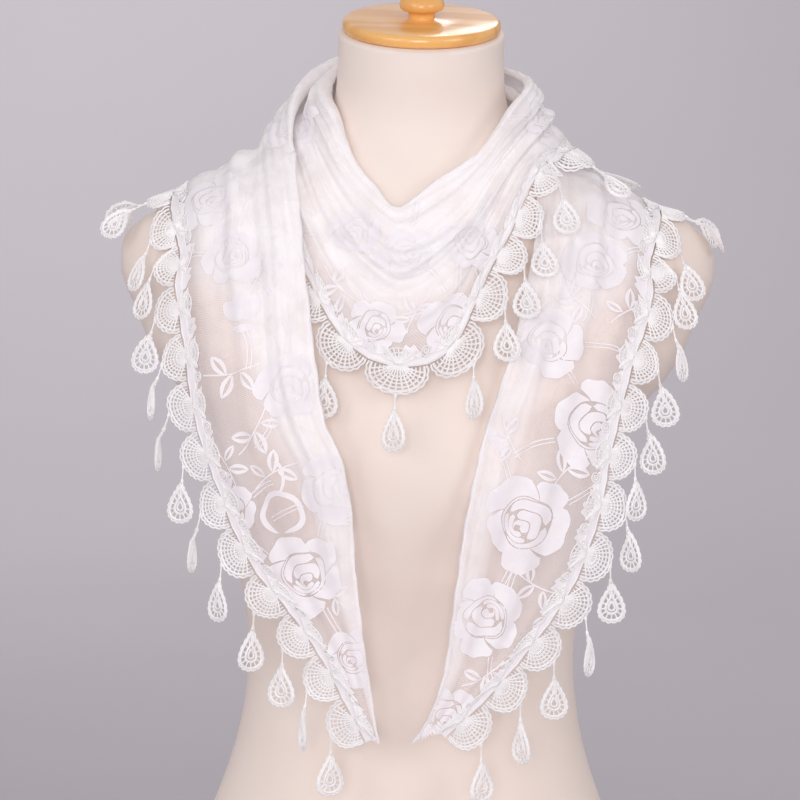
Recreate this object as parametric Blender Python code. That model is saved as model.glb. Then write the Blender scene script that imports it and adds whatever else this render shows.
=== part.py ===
"""A sheer triangular lace shawl wound round the neck of a limbless dress form.

The form stands on the flat cut under its hips, with the origin at the middle of that cut.
+Z is up, the front faces -Y, and the left and right of the names are the viewer's, -X and +X.
"""
import math

import bpy
from mathutils import Matrix, Vector
from mathutils.bvhtree import BVHTree

MM = 0.001

# Clearances and walls, in millimetres
SEAM = 0.4              # gap between two stretches of the same cloth
SEAM_LOOK = 0.3         # how far past a seam a stretch looks, as a share of a section's row
TRIM_SEAM = 0.5         # gap between the cloth's edge and the trim
WALL = 1.2              # thickness of the folded net
TRIM_WALL = 1.4         # thickness of the guipure trim
CAP_GAP = 0.3           # neck cap above the neck
INNER_LAYER = 0.3       # the first layer of the wrap above the drape surface
OUTER_LAYER = 10.0      # the second layer, where it crosses the first
LOOSE_LAYER = 2.0       # the second layer, where it hangs alone

# The form, in millimetres: one row for each level
# height, half width, depth in front, depth behind, roundness of the section
FORM_LEVELS = (
    (0, 152, 104, 104, 2.1),
    (40, 155, 107, 108, 2.1),
    (80, 151, 107, 107, 2.1),
    (125, 138, 100, 100, 2.1),
    (165, 124, 91, 92, 2.1),
    (200, 116, 85, 86, 2.1),
    (235, 113, 84, 83, 2.1),
    (270, 116, 90, 83, 2.1),
    (310, 125, 103, 87, 2.1),
    (345, 134, 116, 91, 2.1),
    (378, 141, 122, 95, 2.1),
    (405, 150, 119, 98, 2.15),
    (428, 170, 113, 100, 2.2),
    (450, 184, 105, 101, 2.25),
    (472, 193, 97, 101, 2.25),
    (495, 203, 88, 100, 2.2),
    (511, 205, 81, 97, 2.15),
    (525, 202, 76, 94, 2.1),
    (537, 190, 72, 89, 2.05),
    (549, 163, 68, 84, 2.0),
    (560, 131, 64, 79, 2.0),
    (571, 102, 60, 74, 2.0),
    (584, 79, 57, 67, 2.0),
    (602, 66, 56, 61, 2.0),
    (622, 59, 56, 57, 2.0),
    (645, 57, 57, 55, 2.0),
    (667, 57, 57, 55, 2.0),
)
FORM_SIDES = 36
NECK_LEAN_START = 602   # above this height the neck leans forward
NECK_LEAN = 0.14        # run forward for each rise
NECK_CUT_SLOPE = 0.33   # fall of the neck's top cut towards the front
CAP_SIDES = 36
FORM_SHARP = 50         # degrees between faces above which an edge of the form stays sharp
CAP_SHARP = 35          # the same for the cap

# The outline of the turned neck cap, in millimetres: a thin disc with a plain knob
# radius, height above the cap's flat underside
CAP_PROFILE = (
    (51, 0),
    (53.5, 1.5),
    (54.5, 4.5),
    (53.5, 7.5),
    (51, 8.5),
    (9, 8.8),
    (9, 14),
    (14.5, 15.5),
    (15.5, 19),
    (13, 24),
    (7, 27),
)

# The surface that the shawl drapes over, in millimetres: the form, smoothed out where the cloth
# spans its hollows, standing off the neck and hanging straight below the bust
# height, half width, depth in front, depth behind, roundness of the section
DRAPE_LEVELS = (
    (60, 196, 112, 112, 2.2),
    (150, 196, 114, 112, 2.2),
    (240, 199, 120, 110, 2.2),
    (310, 202, 126, 108, 2.2),
    (365, 206, 129, 107, 2.2),
    (405, 210, 126, 107, 2.2),
    (440, 213, 117, 107, 2.2),
    (472, 213, 106, 106, 2.2),
    (497, 212, 95, 105, 2.15),
    (513, 208, 86, 100, 2.1),
    (527, 202, 80, 95, 2.08),
    (539, 188, 76, 90, 2.03),
    (551, 161, 72, 85, 2.0),
    (562, 131, 69, 80, 2.0),
    (575, 105, 66, 76, 2.0),
    (594, 89, 65, 72, 2.0),
    (615, 77, 64, 68, 2.0),
    (635, 68, 63, 65, 2.0),
    (655, 64, 63, 62, 2.0),
    (675, 62, 63, 60, 2.0),
)
DRAPE_SIDES = 144
DRAPE_STEP = 5

# How the shawl lies, in millimetres. Each row is a section across the cloth, from its long plain
# edge at the neck to its trimmed edge. FRONT puts a point on the front of the drape surface.
# neck edge x, y, z; trimmed edge x, y, z; depth of the folds; height above the drape surface at
# the neck edge and at the trimmed edge
FRONT = None
OUTER_STRIP = (
    (-14, FRONT, 542, -8, FRONT, 443, 6, 5, 5),
    (10, FRONT, 560, 10, FRONT, 446, 6, 7, 7),
    (32, FRONT, 575, 23, FRONT, 458, 6, 9, 9),
    (47, FRONT, 595, 32, FRONT, 476, 5, OUTER_LAYER, OUTER_LAYER),
    (57, FRONT, 612, 43, FRONT, 501, 5, OUTER_LAYER, OUTER_LAYER),
    (63, -12, 628, 57, FRONT, 529, 4, 8, OUTER_LAYER),
    (60, 14, 638, 74, -24, 566, 4, 7, OUTER_LAYER),
    (45, 42, 648, 86, 30, 568, 4, 7, OUTER_LAYER),
    (14, 60, 656, 70, 76, 540, 4, 8, OUTER_LAYER),
    (-22, 58, 656, 20, 100, 498, 4, OUTER_LAYER, OUTER_LAYER),
    (-52, 38, 648, -62, 104, 470, 4, 12, OUTER_LAYER),
    (-70, 10, 630, -142, 70, 492, 4, 14, 7),
    (-80, -20, 602, -159, 16, 543, 4, 12, 7),
    (-81, FRONT, 566, -155, FRONT, 518, 4, OUTER_LAYER, 5),
    (-78, FRONT, 533, -156, FRONT, 490, 4, OUTER_LAYER, 4),
    (-75, FRONT, 500, -152, FRONT, 469, 4, OUTER_LAYER, 4),
    (-70, FRONT, 468, -147, FRONT, 443, 4, OUTER_LAYER, 4),
    (-65, FRONT, 434, -142, FRONT, 414, 4, OUTER_LAYER, 4),
    (-59, FRONT, 404, -133, FRONT, 384, 4, OUTER_LAYER, 4),
    (-48, FRONT, 380, -122, FRONT, 355, 4, 8, 3),
    (-41, FRONT, 346, -112, FRONT, 330, 4, 4, LOOSE_LAYER),
    (-38, FRONT, 312, -98, FRONT, 306, 3.5, LOOSE_LAYER, LOOSE_LAYER),
    (-34, FRONT, 280, -81, FRONT, 287, 3, LOOSE_LAYER, LOOSE_LAYER),
    (-30, FRONT, 250, -63, FRONT, 263, 2.5, LOOSE_LAYER, LOOSE_LAYER),
    (-26, FRONT, 227, -48, FRONT, 238, 2, LOOSE_LAYER, LOOSE_LAYER),
    (-23, FRONT, 208, -36, FRONT, 215, 1, LOOSE_LAYER, LOOSE_LAYER),
    (-20, FRONT, 194, -26, FRONT, 197, 0, LOOSE_LAYER, LOOSE_LAYER),
)
INNER_STRIP = (
    (-14, FRONT, 542, -8, FRONT, 443, 6, 5, 5),
    (-29, FRONT, 557, -27, FRONT, 447, 5, 3, 3),
    (-42, FRONT, 573, -44, FRONT, 459, 4, INNER_LAYER, INNER_LAYER),
    (-52, FRONT, 590, -58, FRONT, 478, 4, INNER_LAYER, INNER_LAYER),
    (-60, FRONT, 606, -71, FRONT, 502, 4, INNER_LAYER, INNER_LAYER),
    (-64, -14, 624, -84, FRONT, 530, 4, INNER_LAYER, INNER_LAYER),
    (-60, 14, 640, -97, -14, 564, 3.5, INNER_LAYER, INNER_LAYER),
    (-44, 42, 650, -92, 48, 560, 3.5, INNER_LAYER, INNER_LAYER),
    (-14, 60, 654, -68, 86, 524, 3.5, INNER_LAYER, INNER_LAYER),
    (22, 58, 652, -8, 104, 484, 3.5, INNER_LAYER, INNER_LAYER),
    (52, 38, 638, 64, 104, 466, 3.5, INNER_LAYER, INNER_LAYER),
    (67, 10, 622, 140, 72, 490, 3.5, INNER_LAYER, INNER_LAYER),
    (77, -22, 598, 157, 16, 542, 3.5, INNER_LAYER, INNER_LAYER),
    (79, FRONT, 564, 153, FRONT, 518, 3.5, INNER_LAYER, INNER_LAYER),
    (79, FRONT, 532, 153, FRONT, 492, 3.5, INNER_LAYER, INNER_LAYER),
    (74, FRONT, 500, 148, FRONT, 470, 3.5, INNER_LAYER, INNER_LAYER),
    (67, FRONT, 468, 139, FRONT, 446, 3.5, INNER_LAYER, INNER_LAYER),
    (58, FRONT, 436, 131, FRONT, 415, 3.5, INNER_LAYER, INNER_LAYER),
    (47, FRONT, 402, 124, FRONT, 385, 3.5, INNER_LAYER, INNER_LAYER),
    (40, FRONT, 372, 119, FRONT, 357, 3.5, LOOSE_LAYER, LOOSE_LAYER),
    (34, FRONT, 340, 112, FRONT, 330, 3.5, LOOSE_LAYER, LOOSE_LAYER),
    (30, FRONT, 306, 102, FRONT, 304, 3, LOOSE_LAYER, LOOSE_LAYER),
    (26, FRONT, 272, 87, FRONT, 279, 2.5, LOOSE_LAYER, LOOSE_LAYER),
    (22, FRONT, 242, 70, FRONT, 256, 2, LOOSE_LAYER, LOOSE_LAYER),
    (15, FRONT, 219, 52, FRONT, 234, 1.5, LOOSE_LAYER, LOOSE_LAYER),
    (8, FRONT, 205, 35, FRONT, 216, 1, LOOSE_LAYER, LOOSE_LAYER),
    (2, FRONT, 196, 20, FRONT, 202, 0, LOOSE_LAYER, LOOSE_LAYER),
)

# The stretches of each strip: name, first section, last section, and the share of its drops, from
# the first section on, that other cloth covers, so that they lie flat
OUTER_STRETCHES = (
    ("right_neck_wrap", 4, 7, 1),
    ("back_outer_wrap", 7, 11, 0.35),
    ("left_shoulder_drape", 11, 14, 0),
    ("left_end", 14, 26, 0),
)
INNER_STRETCHES = (
    ("left_neck_wrap", 4, 7, 1),
    ("back_inner_wrap", 7, 11, 1),
    ("right_shoulder_drape", 11, 14, 0),
    ("right_end", 14, 26, 0),
)
BIB_SECTIONS = 4        # the bib reaches this section of both strips
BIB_COVERED = 0.4       # the share of its drops that the left end covers

# Weave of the solids
ACROSS = 12             # steps across the cloth
FOLD_WAVES = 3          # folds side by side across the cloth
FOLD_STEEPNESS = 0.12   # most that a fold rises, as a share of its width
NECK_FADE = 4           # how fast the folds grow from the neck edge
TRIM_FADE = 5           # how fast they grow from the trimmed edge
LAYER_CURVE = 3         # how late the cloth comes down to its layer at the trimmed edge
STEPS_A_FAN = 2         # steps of the cloth for each fan of the trim
MARKS_A_ROW = 20        # marks for measuring the trimmed edge between two rows
FINE_STEPS = 3          # steps on the drape surface for each step across the cloth
CLOTH_SHARP = 60        # degrees between faces above which an edge of the cloth stays sharp
TINY = 1e-9             # for lengths that are equal but for rounding

# The trim, in millimetres
TRIM_BAND = 13          # plain band beside the cloth
FAN_DEPTH = 9           # reach of a fan beyond the band
TRIM_LIFT = 1.5         # most that the trim stands off its layer
DROP_LIFT = 0.5         # most that a covered drop stands off its layer
DROP_CLEAR = 3.4        # how far a drop hangs in front of the fans below it
STEEP_ENOUGH = 0.35     # slope of the cloth, as a sine, above which a drop slides down it
FAN_PITCH = 34          # width of a fan along the edge
FAN_STEPS = (0.0, 0.18, 0.47, 0.53, 0.82)
TIP_STEP = 2            # the step of a fan where its drop starts
TURNING_STEPS = 3       # steps of a drop in which it turns its own way
DROP_STEPS = (3, 11, 17, 25, 32, 37)
DROP_HALF_WIDTHS = (1.0, 1.2, 5.2, 9.0, 8.0, 3.4)
DROP_TURNS = (10, -25, 35, 60, -10, 75, 20, -45, 5, 65, -30, 15)

SHAWL_WHITE = (0.93, 0.89, 0.90, 1.0)
FORM_CREAM = (0.86, 0.77, 0.66, 1.0)
CAP_BROWN = (0.60, 0.30, 0.11, 1.0)
SHAWL_ROUGHNESS = 0.75
FORM_ROUGHNESS = 0.6
CAP_ROUGHNESS = 0.3


def clear_scene():
    for thing in list(bpy.data.objects):
        bpy.data.objects.remove(thing, do_unlink=True)


def make_material(name, colour, roughness, metallic=0.0):
    material = bpy.data.materials.new(name)
    material.use_nodes = True
    shader = material.node_tree.nodes["Principled BSDF"]
    shader.inputs["Base Color"].default_value = colour
    shader.inputs["Roughness"].default_value = roughness
    shader.inputs["Metallic"].default_value = metallic
    material.diffuse_color = colour
    return material


def smooth_between(rows, place):
    """The columns of a table at a place between its rows, on a smooth curve through them."""
    last = len(rows) - 1
    row = min(int(place), last - 1)
    part = place - row
    before = rows[max(row - 1, 0)]
    start = rows[row]
    end = rows[row + 1]
    after = rows[min(row + 2, last)]
    values = []
    for p0, p1, p2, p3 in zip(before, start, end, after):
        slope_1 = (p2 - p0) / 2
        slope_2 = (p3 - p1) / 2
        bend = 2 * (p1 - p2) + slope_1 + slope_2
        sag = 3 * (p2 - p1) - 2 * slope_1 - slope_2
        values.append(((bend * part + sag) * part + slope_1) * part + p1)
    return values


def level_at(levels, height):
    """Half width, front depth, back depth and roundness at a height, on a smooth curve."""
    for row in range(len(levels) - 1):
        low, high = levels[row][0], levels[row + 1][0]
        if height <= high or row == len(levels) - 2:
            part = min(max((height - low) / (high - low), 0.0), 1.0)
            return smooth_between([level[1:] for level in levels], row + part)


def section_point(half_width, front, back, roundness, angle):
    """A point of a rounded section. Angle 0 is +X and a quarter turn is the back."""
    across = math.cos(angle)
    deep = math.sin(angle)
    depth = back if deep > 0 else front
    power = 2 / roundness
    x = half_width * math.copysign(abs(across) ** power, across)
    y = depth * math.copysign(abs(deep) ** power, deep)
    return x, y


def lean(height):
    return -NECK_LEAN * max(0.0, height - NECK_LEAN_START)


def form_rings():
    """The form's rings from the hips to the neck, whose last ones tilt to the sloping cut."""
    rings = []
    top = FORM_LEVELS[-1][0]
    for height, half_width, front, back, roundness in FORM_LEVELS:
        tilt = NECK_CUT_SLOPE * max(0.0, (height - NECK_LEAN_START) / (top - NECK_LEAN_START))
        ring = []
        for side in range(FORM_SIDES):
            angle = 2 * math.pi * side / FORM_SIDES
            x, y = section_point(half_width, front, back, roundness, angle)
            ring.append(Vector((x, y + lean(height), height + tilt * y)) * MM)
        rings.append(ring)
    return rings


def loft_faces(ring_count, sides):
    faces = []
    for ring in range(ring_count - 1):
        for side in range(sides):
            beside = (side + 1) % sides
            low = ring * sides
            high = low + sides
            faces.append((low + side, low + beside, high + beside, high + side))
    return faces


def add_object(name, mesh, material, collection):
    thing = bpy.data.objects.new(name, mesh)
    thing.data.materials.append(material)
    collection.objects.link(thing)
    return thing


def add_turned(name, points, rings, sides, sharp, material, collection):
    """A closed body through rings of points, with a flat face at each end."""
    faces = loft_faces(rings, sides)
    faces.append(tuple(reversed(range(sides))))
    faces.append(tuple(range(len(points) - sides, len(points))))
    mesh = bpy.data.meshes.new(name)
    mesh.from_pydata(points, [], faces)
    mesh.shade_smooth()
    mesh.set_sharp_from_angle(angle=math.radians(sharp))
    return add_object(name, mesh, material, collection)


def make_torso(material, collection):
    rings = form_rings()
    points = [point for ring in rings for point in ring]
    return add_turned("form_torso", points, len(rings), FORM_SIDES, FORM_SHARP, material, collection)


def make_cap(material, collection):
    """The turned cap, which lies on the sloping cut of the neck."""
    top = FORM_LEVELS[-1][0]
    slope = math.atan(NECK_CUT_SLOPE)
    turned = Matrix.Rotation(slope, 3, "X")
    foot = Vector((0, lean(top), top)) + turned @ Vector((0, 0, CAP_GAP))
    points = []
    for radius, height in CAP_PROFILE:
        for side in range(CAP_SIDES):
            angle = 2 * math.pi * side / CAP_SIDES
            point = Vector((radius * math.cos(angle), radius * math.sin(angle), height))
            points.append((foot + turned @ point) * MM)
    return add_turned("neck_cap", points, len(CAP_PROFILE), CAP_SIDES, CAP_SHARP, material, collection)


class Drape:
    """The smooth surface that the cloth lies over."""

    def __init__(self):
        low = DRAPE_LEVELS[0][0]
        high = DRAPE_LEVELS[-1][0]
        rings = int((high - low) / DRAPE_STEP) + 1
        points = []
        for ring in range(rings):
            height = low + ring * DRAPE_STEP
            half_width, front, back, roundness = level_at(DRAPE_LEVELS, height)
            for side in range(DRAPE_SIDES):
                angle = 2 * math.pi * side / DRAPE_SIDES
                x, y = section_point(half_width, front, back, roundness, angle)
                points.append(Vector((x, y + lean(height), height)) * MM)
        self.tree = BVHTree.FromPolygons(points, loft_faces(rings, DRAPE_SIDES))

    def front(self, x, z):
        """The depth of the surface's front behind a point of the front view."""
        start = Vector((x * MM, -1.0, z * MM))
        hit = self.tree.ray_cast(start, Vector((0, 1, 0)))[0]
        return hit.y / MM

    def settle(self, point):
        """The nearest place on the surface, and the way out of it."""
        place, out, _, _ = self.tree.find_nearest(point)
        return place, out

    def rest(self, point, height, lift=None):
        """How a point moves to lie at least this height above the surface, and no more than the
        lift higher."""
        place, out = self.settle(point)
        above = (point - place).dot(out) / MM
        if above < height:
            return out * (height - above) * MM
        if lift is not None and above > height + lift:
            return out * (height + lift - above) * MM
        return Vector()


def fill_front(rows, drape):
    filled = []
    for row in rows:
        row = list(row)
        for start in (0, 3):
            if row[start + 1] is FRONT:
                row[start + 1] = drape.front(row[start], row[start + 2])
        filled.append(row)
    return filled


def fold_height(across, depth, width):
    """Height of the folds across the cloth, dying out at both edges and where it is narrow."""
    edge = min(1.0, NECK_FADE * across) * min(1.0, TRIM_FADE * (1 - across))
    wave = 0.5 - 0.5 * math.cos(2 * math.pi * FOLD_WAVES * across)
    return min(depth, FOLD_STEEPNESS * width / FOLD_WAVES) * edge * wave


def even_points(points, steps):
    """Points at even steps along a line of points."""
    lengths = [0.0]
    for before, after in zip(points, points[1:]):
        lengths.append(lengths[-1] + (after - before).length)
    evened = []
    index = 0
    for step in range(steps + 1):
        wanted = lengths[-1] * step / steps
        while index < len(points) - 2 and lengths[index + 1] < wanted:
            index += 1
        run = lengths[index + 1] - lengths[index]
        part = (wanted - lengths[index]) / run if run > 0 else 0.0
        evened.append(points[index].lerp(points[index + 1], min(part, 1.0)))
    return evened


def section(rows, place, drape):
    """The points of one section across the cloth."""
    values = smooth_between(rows, place)
    neck_edge = Vector(values[0:3]) * MM
    trimmed_edge = Vector(values[3:6]) * MM
    depth, neck_height, trim_height = values[6:9]
    fine = FINE_STEPS * ACROSS
    line = [drape.settle(neck_edge.lerp(trimmed_edge, step / fine))[0] for step in range(fine + 1)]
    width = sum((after - before).length for before, after in zip(line, line[1:])) / MM
    points = []
    for step, place_on_line in enumerate(even_points(line, ACROSS)):
        ground, out = drape.settle(place_on_line)
        across = step / ACROSS
        height = neck_height + (trim_height - neck_height) * across ** LAYER_CURVE
        rise = height + fold_height(across, depth, width)
        points.append(ground + out * rise * MM)
    return points


def places_along(rows, first, last):
    """Places in the table whose trimmed edges lie at even steps, and the number of fans there."""
    fine = MARKS_A_ROW * (last - first)
    marks = [first + i / MARKS_A_ROW for i in range(fine + 1)]
    edge = [Vector(smooth_between(rows, mark)[3:6]) for mark in marks]
    lengths = [0.0]
    for before, after in zip(edge, edge[1:]):
        lengths.append(lengths[-1] + (after - before).length)
    fans = max(1, round(lengths[-1] / FAN_PITCH))
    steps = fans * STEPS_A_FAN
    places = []
    for step in range(steps + 1):
        wanted = lengths[-1] * step / steps
        index = max(i for i, length in enumerate(lengths[:-1]) if length <= wanted + TINY)
        run = lengths[index + 1] - lengths[index]
        part = (wanted - lengths[index]) / run
        places.append(marks[index] + (marks[index + 1] - marks[index]) * min(part, 1.0))
    return places, fans


def grid_normals(grid, drape):
    """The way out of the cloth at each point of a grid of sections."""
    last_line = len(grid) - 1
    last_step = len(grid[0]) - 1
    normals = []
    for line, points in enumerate(grid):
        row = []
        for step, point in enumerate(points):
            along = grid[min(line + 1, last_line)][step] - grid[max(line - 1, 0)][step]
            across = points[min(step + 1, last_step)] - points[max(step - 1, 0)]
            normal = along.cross(across).normalized()
            _, out = drape.settle(point)
            row.append(-normal if normal.dot(out) < 0 else normal)
        normals.append(row)
    return normals


def cloth_grid(rows, places, drape):
    """Sections of a stretch, its normals, and the runs of its trimmed edge. The last two look past
    the ends, where the cloth goes on, so that two stretches turn their walls alike at a seam."""
    grid = [section(rows, place, drape) for place in places]
    normals = grid_normals(grid, drape)
    runs = [after[-1] - before[-1] for before, after in zip([grid[0]] + grid, grid[1:] + [grid[-1]])]
    for end in (0, -1):
        low = places[end] - SEAM_LOOK
        high = places[end] + SEAM_LOOK
        if low > 0 and high < len(rows) - 1:
            around = [section(rows, place, drape) for place in (low, places[end], high)]
            normals[end] = grid_normals(around, drape)[1]
            runs[end] = around[2][-1] - around[0][-1]
    return grid, normals, runs


def part_ends(grid, normals, gap):
    """Draw the two end sections in by half a seam, squarely, so that stretches stay apart."""
    last = len(grid[0]) - 1
    for end, beside in ((0, 1), (-1, -2)):
        moved = []
        for step, point in enumerate(grid[end]):
            across = grid[end][min(step + 1, last)] - grid[end][max(step - 1, 0)]
            inward = across.cross(normals[end][step]).normalized()
            run = grid[beside][step] - point
            if inward.dot(run) < 0:
                inward = -inward
            moved.append(point + inward * min(gap * MM / 2, run.length / 3))
        grid[end] = moved


def split_face(points, face):
    """The two triangles of a face, parted along its shorter diagonal. The inner and the outer side
    of a wall are parted alike, so that they never cross where the face is twisted."""
    first, second, third, fourth = face
    if (points[first] - points[third]).length <= (points[second] - points[fourth]).length:
        return (first, second, third), (first, third, fourth)
    return (first, second, fourth), (second, third, fourth)


def thick_mesh(name, points, normals, faces, wall):
    """A closed wall on an open sheet. It grows along the given normals, which neighbours share at
    a seam, and so the seam stays open through the wall."""
    count = len(points)
    outer = [point + normal * wall * MM for point, normal in zip(points, normals)]
    centre = [points[i] for i in faces[0]]
    turn = (centre[1] - centre[0]).cross(centre[2] - centre[1])
    if turn.dot(normals[faces[0][0]]) < 0:
        faces = [tuple(reversed(face)) for face in faces]
    faces = [half for face in faces for half in split_face(points, face)]
    sides = set()
    for face in faces:
        sides.update(zip(face, face[1:] + face[:1]))
    walls = [tuple(i + count for i in face) for face in faces]
    walls += [tuple(reversed(face)) for face in faces]
    shell = points + outer
    for start, end in sorted(sides):
        if (end, start) not in sides:
            walls.extend(split_face(shell, (start, end, end + count, start + count)))
    mesh = bpy.data.meshes.new(name)
    mesh.from_pydata(shell, [], walls)
    mesh.shade_smooth()
    mesh.set_sharp_from_angle(angle=math.radians(CLOTH_SHARP))
    return mesh


def sheet_mesh(name, grid, normals):
    across = len(grid[0])
    faces = []
    for line in range(len(grid) - 1):
        for step in range(across - 1):
            corner = line * across + step
            faces.append((corner, corner + 1, corner + across + 1, corner + across))
    points = [point for line in grid for point in line]
    ways = [normal for line in normals for normal in line]
    return thick_mesh(name, points, ways, faces, WALL)


def slide(way, out):
    """A way that doesn't lead into a surface, but along it."""
    return way - out * min(way.dot(out), 0.0)


def hang_drop(root, flat, normal, outward, turn, height, lies_flat, drape):
    """Pairs of points down a hanging drop and the way its wall faces at each."""
    pairs = []
    ways = []
    hang = root
    before = 0
    most = DROP_LIFT if lies_flat else None
    for index, (down, half_width) in enumerate(zip(DROP_STEPS, DROP_HALF_WIDTHS)):
        turned = min(1.0, (index + 1) / TURNING_STEPS)
        clear = height + DROP_CLEAR * turned
        _, out = drape.settle(hang)
        fall = slide(Vector((0, 0, -1)), out)
        if fall.length < STEEP_ENOUGH:
            fall = slide(outward, out)
        hang = hang + fall.normalized() * (down - before) * MM
        hang = hang + drape.rest(hang, clear, most)
        before = down
        _, out = drape.settle(hang)
        level = fall.cross(out).normalized()
        if level.dot(flat) < 0:
            level = -level
        face = level.cross(fall).normalized()
        if face.dot(out) < 0:
            face = -face
        spin = Matrix.Rotation(math.radians(0 if lies_flat else turn) * turned, 3, fall.normalized())
        side = spin @ flat.lerp(level, turned).normalized()
        way = spin @ normal.lerp(face, turned).normalized()
        moves = [drape.rest(hang + side * end * half_width * MM, clear, most) for end in (-1, 1)]
        hang = hang + max(moves, key=lambda move: move.length)
        for end in (-1, 1):
            pairs.append(hang + side * end * half_width * MM)
            ways.append(way)
    return pairs, ways


def trim_mesh(name, edge, edge_normals, runs, heights, fans, first_turn, covered, drape):
    """The trim along a cloth's edge: a band, its fans and a drop under each fan."""
    last = len(edge) - 1
    outward = []
    for index, normal in enumerate(edge_normals):
        way = runs[index].cross(normal).normalized()
        inward = edge[index][-3] - edge[index][-1]
        outward.append(-way if way.dot(inward) > 0 else way)
    points = []
    ways = []
    faces = []
    fan_span = last / fans

    def add(place, reach):
        index = min(int(place), last - 1)
        part = place - index
        way = outward[index].lerp(outward[index + 1], part).normalized()
        point = edge[index][-1].lerp(edge[index + 1][-1], part) + way * reach * MM
        if reach > TRIM_SEAM:
            height = heights[index] + (heights[index + 1] - heights[index]) * part
            point = point + drape.rest(point, height, TRIM_LIFT)
        points.append(point)
        ways.append(edge_normals[index].lerp(edge_normals[index + 1], part).normalized())
        return len(points) - 1

    columns = []
    for column in [fan + step for fan in range(fans) for step in FAN_STEPS] + [fans]:
        inside = (column % 1.0) if column < fans else 0.0
        reach = TRIM_BAND + FAN_DEPTH * math.sqrt(max(0.0, 1 - (2 * inside - 1) ** 2))
        place = column * fan_span
        columns.append((add(place, TRIM_SEAM), add(place, reach)))
    for left, right in zip(columns, columns[1:]):
        faces.append((left[0], left[1], right[1], right[0]))

    for fan in range(fans):
        start = fan * len(FAN_STEPS) + TIP_STEP
        upper = (columns[start][1], columns[start + 1][1])
        root = (points[upper[0]] + points[upper[1]]) / 2
        flat = (points[upper[1]] - points[upper[0]]).normalized()
        middle = int((fan + 0.5) * fan_span)
        turn = DROP_TURNS[(first_turn + fan) % len(DROP_TURNS)]
        lies_flat = fan + 0.5 < covered * fans
        pairs, drop_ways = hang_drop(
            root, flat, ways[upper[0]], outward[middle], turn, heights[middle], lies_flat, drape)
        for step in range(0, len(pairs), 2):
            points.extend(pairs[step:step + 2])
            ways.extend(drop_ways[step:step + 2])
            lower = (len(points) - 2, len(points) - 1)
            faces.append((upper[0], lower[0], lower[1], upper[1]))
            upper = lower
    return thick_mesh(name, points, ways, faces, TRIM_WALL)


def make_stretch(name, rows, places, fans, first_turn, covered, drape, cloth, collection):
    """One stretch of the shawl and the trim along it."""
    grid, normals, runs = cloth_grid(rows, places, drape)
    part_ends(grid, normals, SEAM)
    add_object(name, sheet_mesh(name, grid, normals), cloth, collection)
    edge_normals = [line[-1] for line in normals]
    heights = [smooth_between(rows, place)[8] for place in places]
    trim = name.replace("_wrap", "").replace("_drape", "") + "_trim"
    mesh = trim_mesh(trim, grid, edge_normals, runs, heights, fans, first_turn, covered, drape)
    add_object(trim, mesh, cloth, collection)


def make_shawl(cloth, collection):
    drape = Drape()
    outer = fill_front(OUTER_STRIP, drape)
    inner = fill_front(INNER_STRIP, drape)

    beyond = 2
    bib = list(reversed(inner[1:BIB_SECTIONS + 1 + beyond])) + outer[:BIB_SECTIONS + 1 + beyond]
    first = beyond
    last = len(bib) - 1 - beyond
    places, fans = places_along(bib, first, last)
    make_stretch("front_bib", bib, places, fans, 0, BIB_COVERED, drape, cloth, collection)
    for rows, stretches in ((outer, OUTER_STRETCHES), (inner, INNER_STRETCHES)):
        turn = fans
        for name, first, last, covered in stretches:
            places, count = places_along(rows, first, last)
            make_stretch(name, rows, places, count, turn, covered, drape, cloth, collection)
            turn += count


def main():
    clear_scene()
    collection = bpy.data.collections.new("lace_shawl_on_dress_form")
    bpy.context.scene.collection.children.link(collection)
    form = make_material("form_cream", FORM_CREAM, FORM_ROUGHNESS)
    wood = make_material("cap_wood", CAP_BROWN, CAP_ROUGHNESS)
    cloth = make_material("shawl_lace", SHAWL_WHITE, SHAWL_ROUGHNESS)
    make_torso(form, collection)
    make_cap(wood, collection)
    make_shawl(cloth, collection)


main()
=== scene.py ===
# %% [markdown]
# # A lace shawl on a dress form
#
# The object is a three-cornered shawl of sheer rose lace, wound once round the neck of a limbless
# dress form. This lesson dresses a imported frame of plain solids: it keeps their places and gives
# them their real surfaces. The frame is loaded first, because every later piece takes its place
# from it.

# %% Load the frame
import math

import bpy
import numpy as np
from mathutils import Matrix, Vector, noise
from mathutils.bvhtree import BVHTree


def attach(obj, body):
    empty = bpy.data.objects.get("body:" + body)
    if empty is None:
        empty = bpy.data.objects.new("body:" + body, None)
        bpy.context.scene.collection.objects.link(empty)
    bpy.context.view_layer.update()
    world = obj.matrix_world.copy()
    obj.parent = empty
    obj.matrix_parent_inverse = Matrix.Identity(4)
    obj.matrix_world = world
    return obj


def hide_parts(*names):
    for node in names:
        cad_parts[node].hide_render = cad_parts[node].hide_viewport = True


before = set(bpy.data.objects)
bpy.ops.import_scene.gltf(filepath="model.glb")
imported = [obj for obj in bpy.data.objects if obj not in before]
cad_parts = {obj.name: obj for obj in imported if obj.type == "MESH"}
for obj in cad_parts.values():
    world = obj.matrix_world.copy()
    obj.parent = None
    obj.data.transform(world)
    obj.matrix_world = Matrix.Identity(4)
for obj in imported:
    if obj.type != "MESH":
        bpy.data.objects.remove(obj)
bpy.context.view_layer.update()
MM = 0.001
print("frame nodes:", len(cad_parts))

# %% [markdown]
# The form is a loft through rounded sections, one for each level from the hips to the neck. The
# shawl lies over a second, looser loft: the form smoothed out where cloth spans its hollows. Both
# are short tables, because a maker of a form also works from a few girths. A spline through the
# rows would do as well, and a table keeps every size in view.

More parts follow.
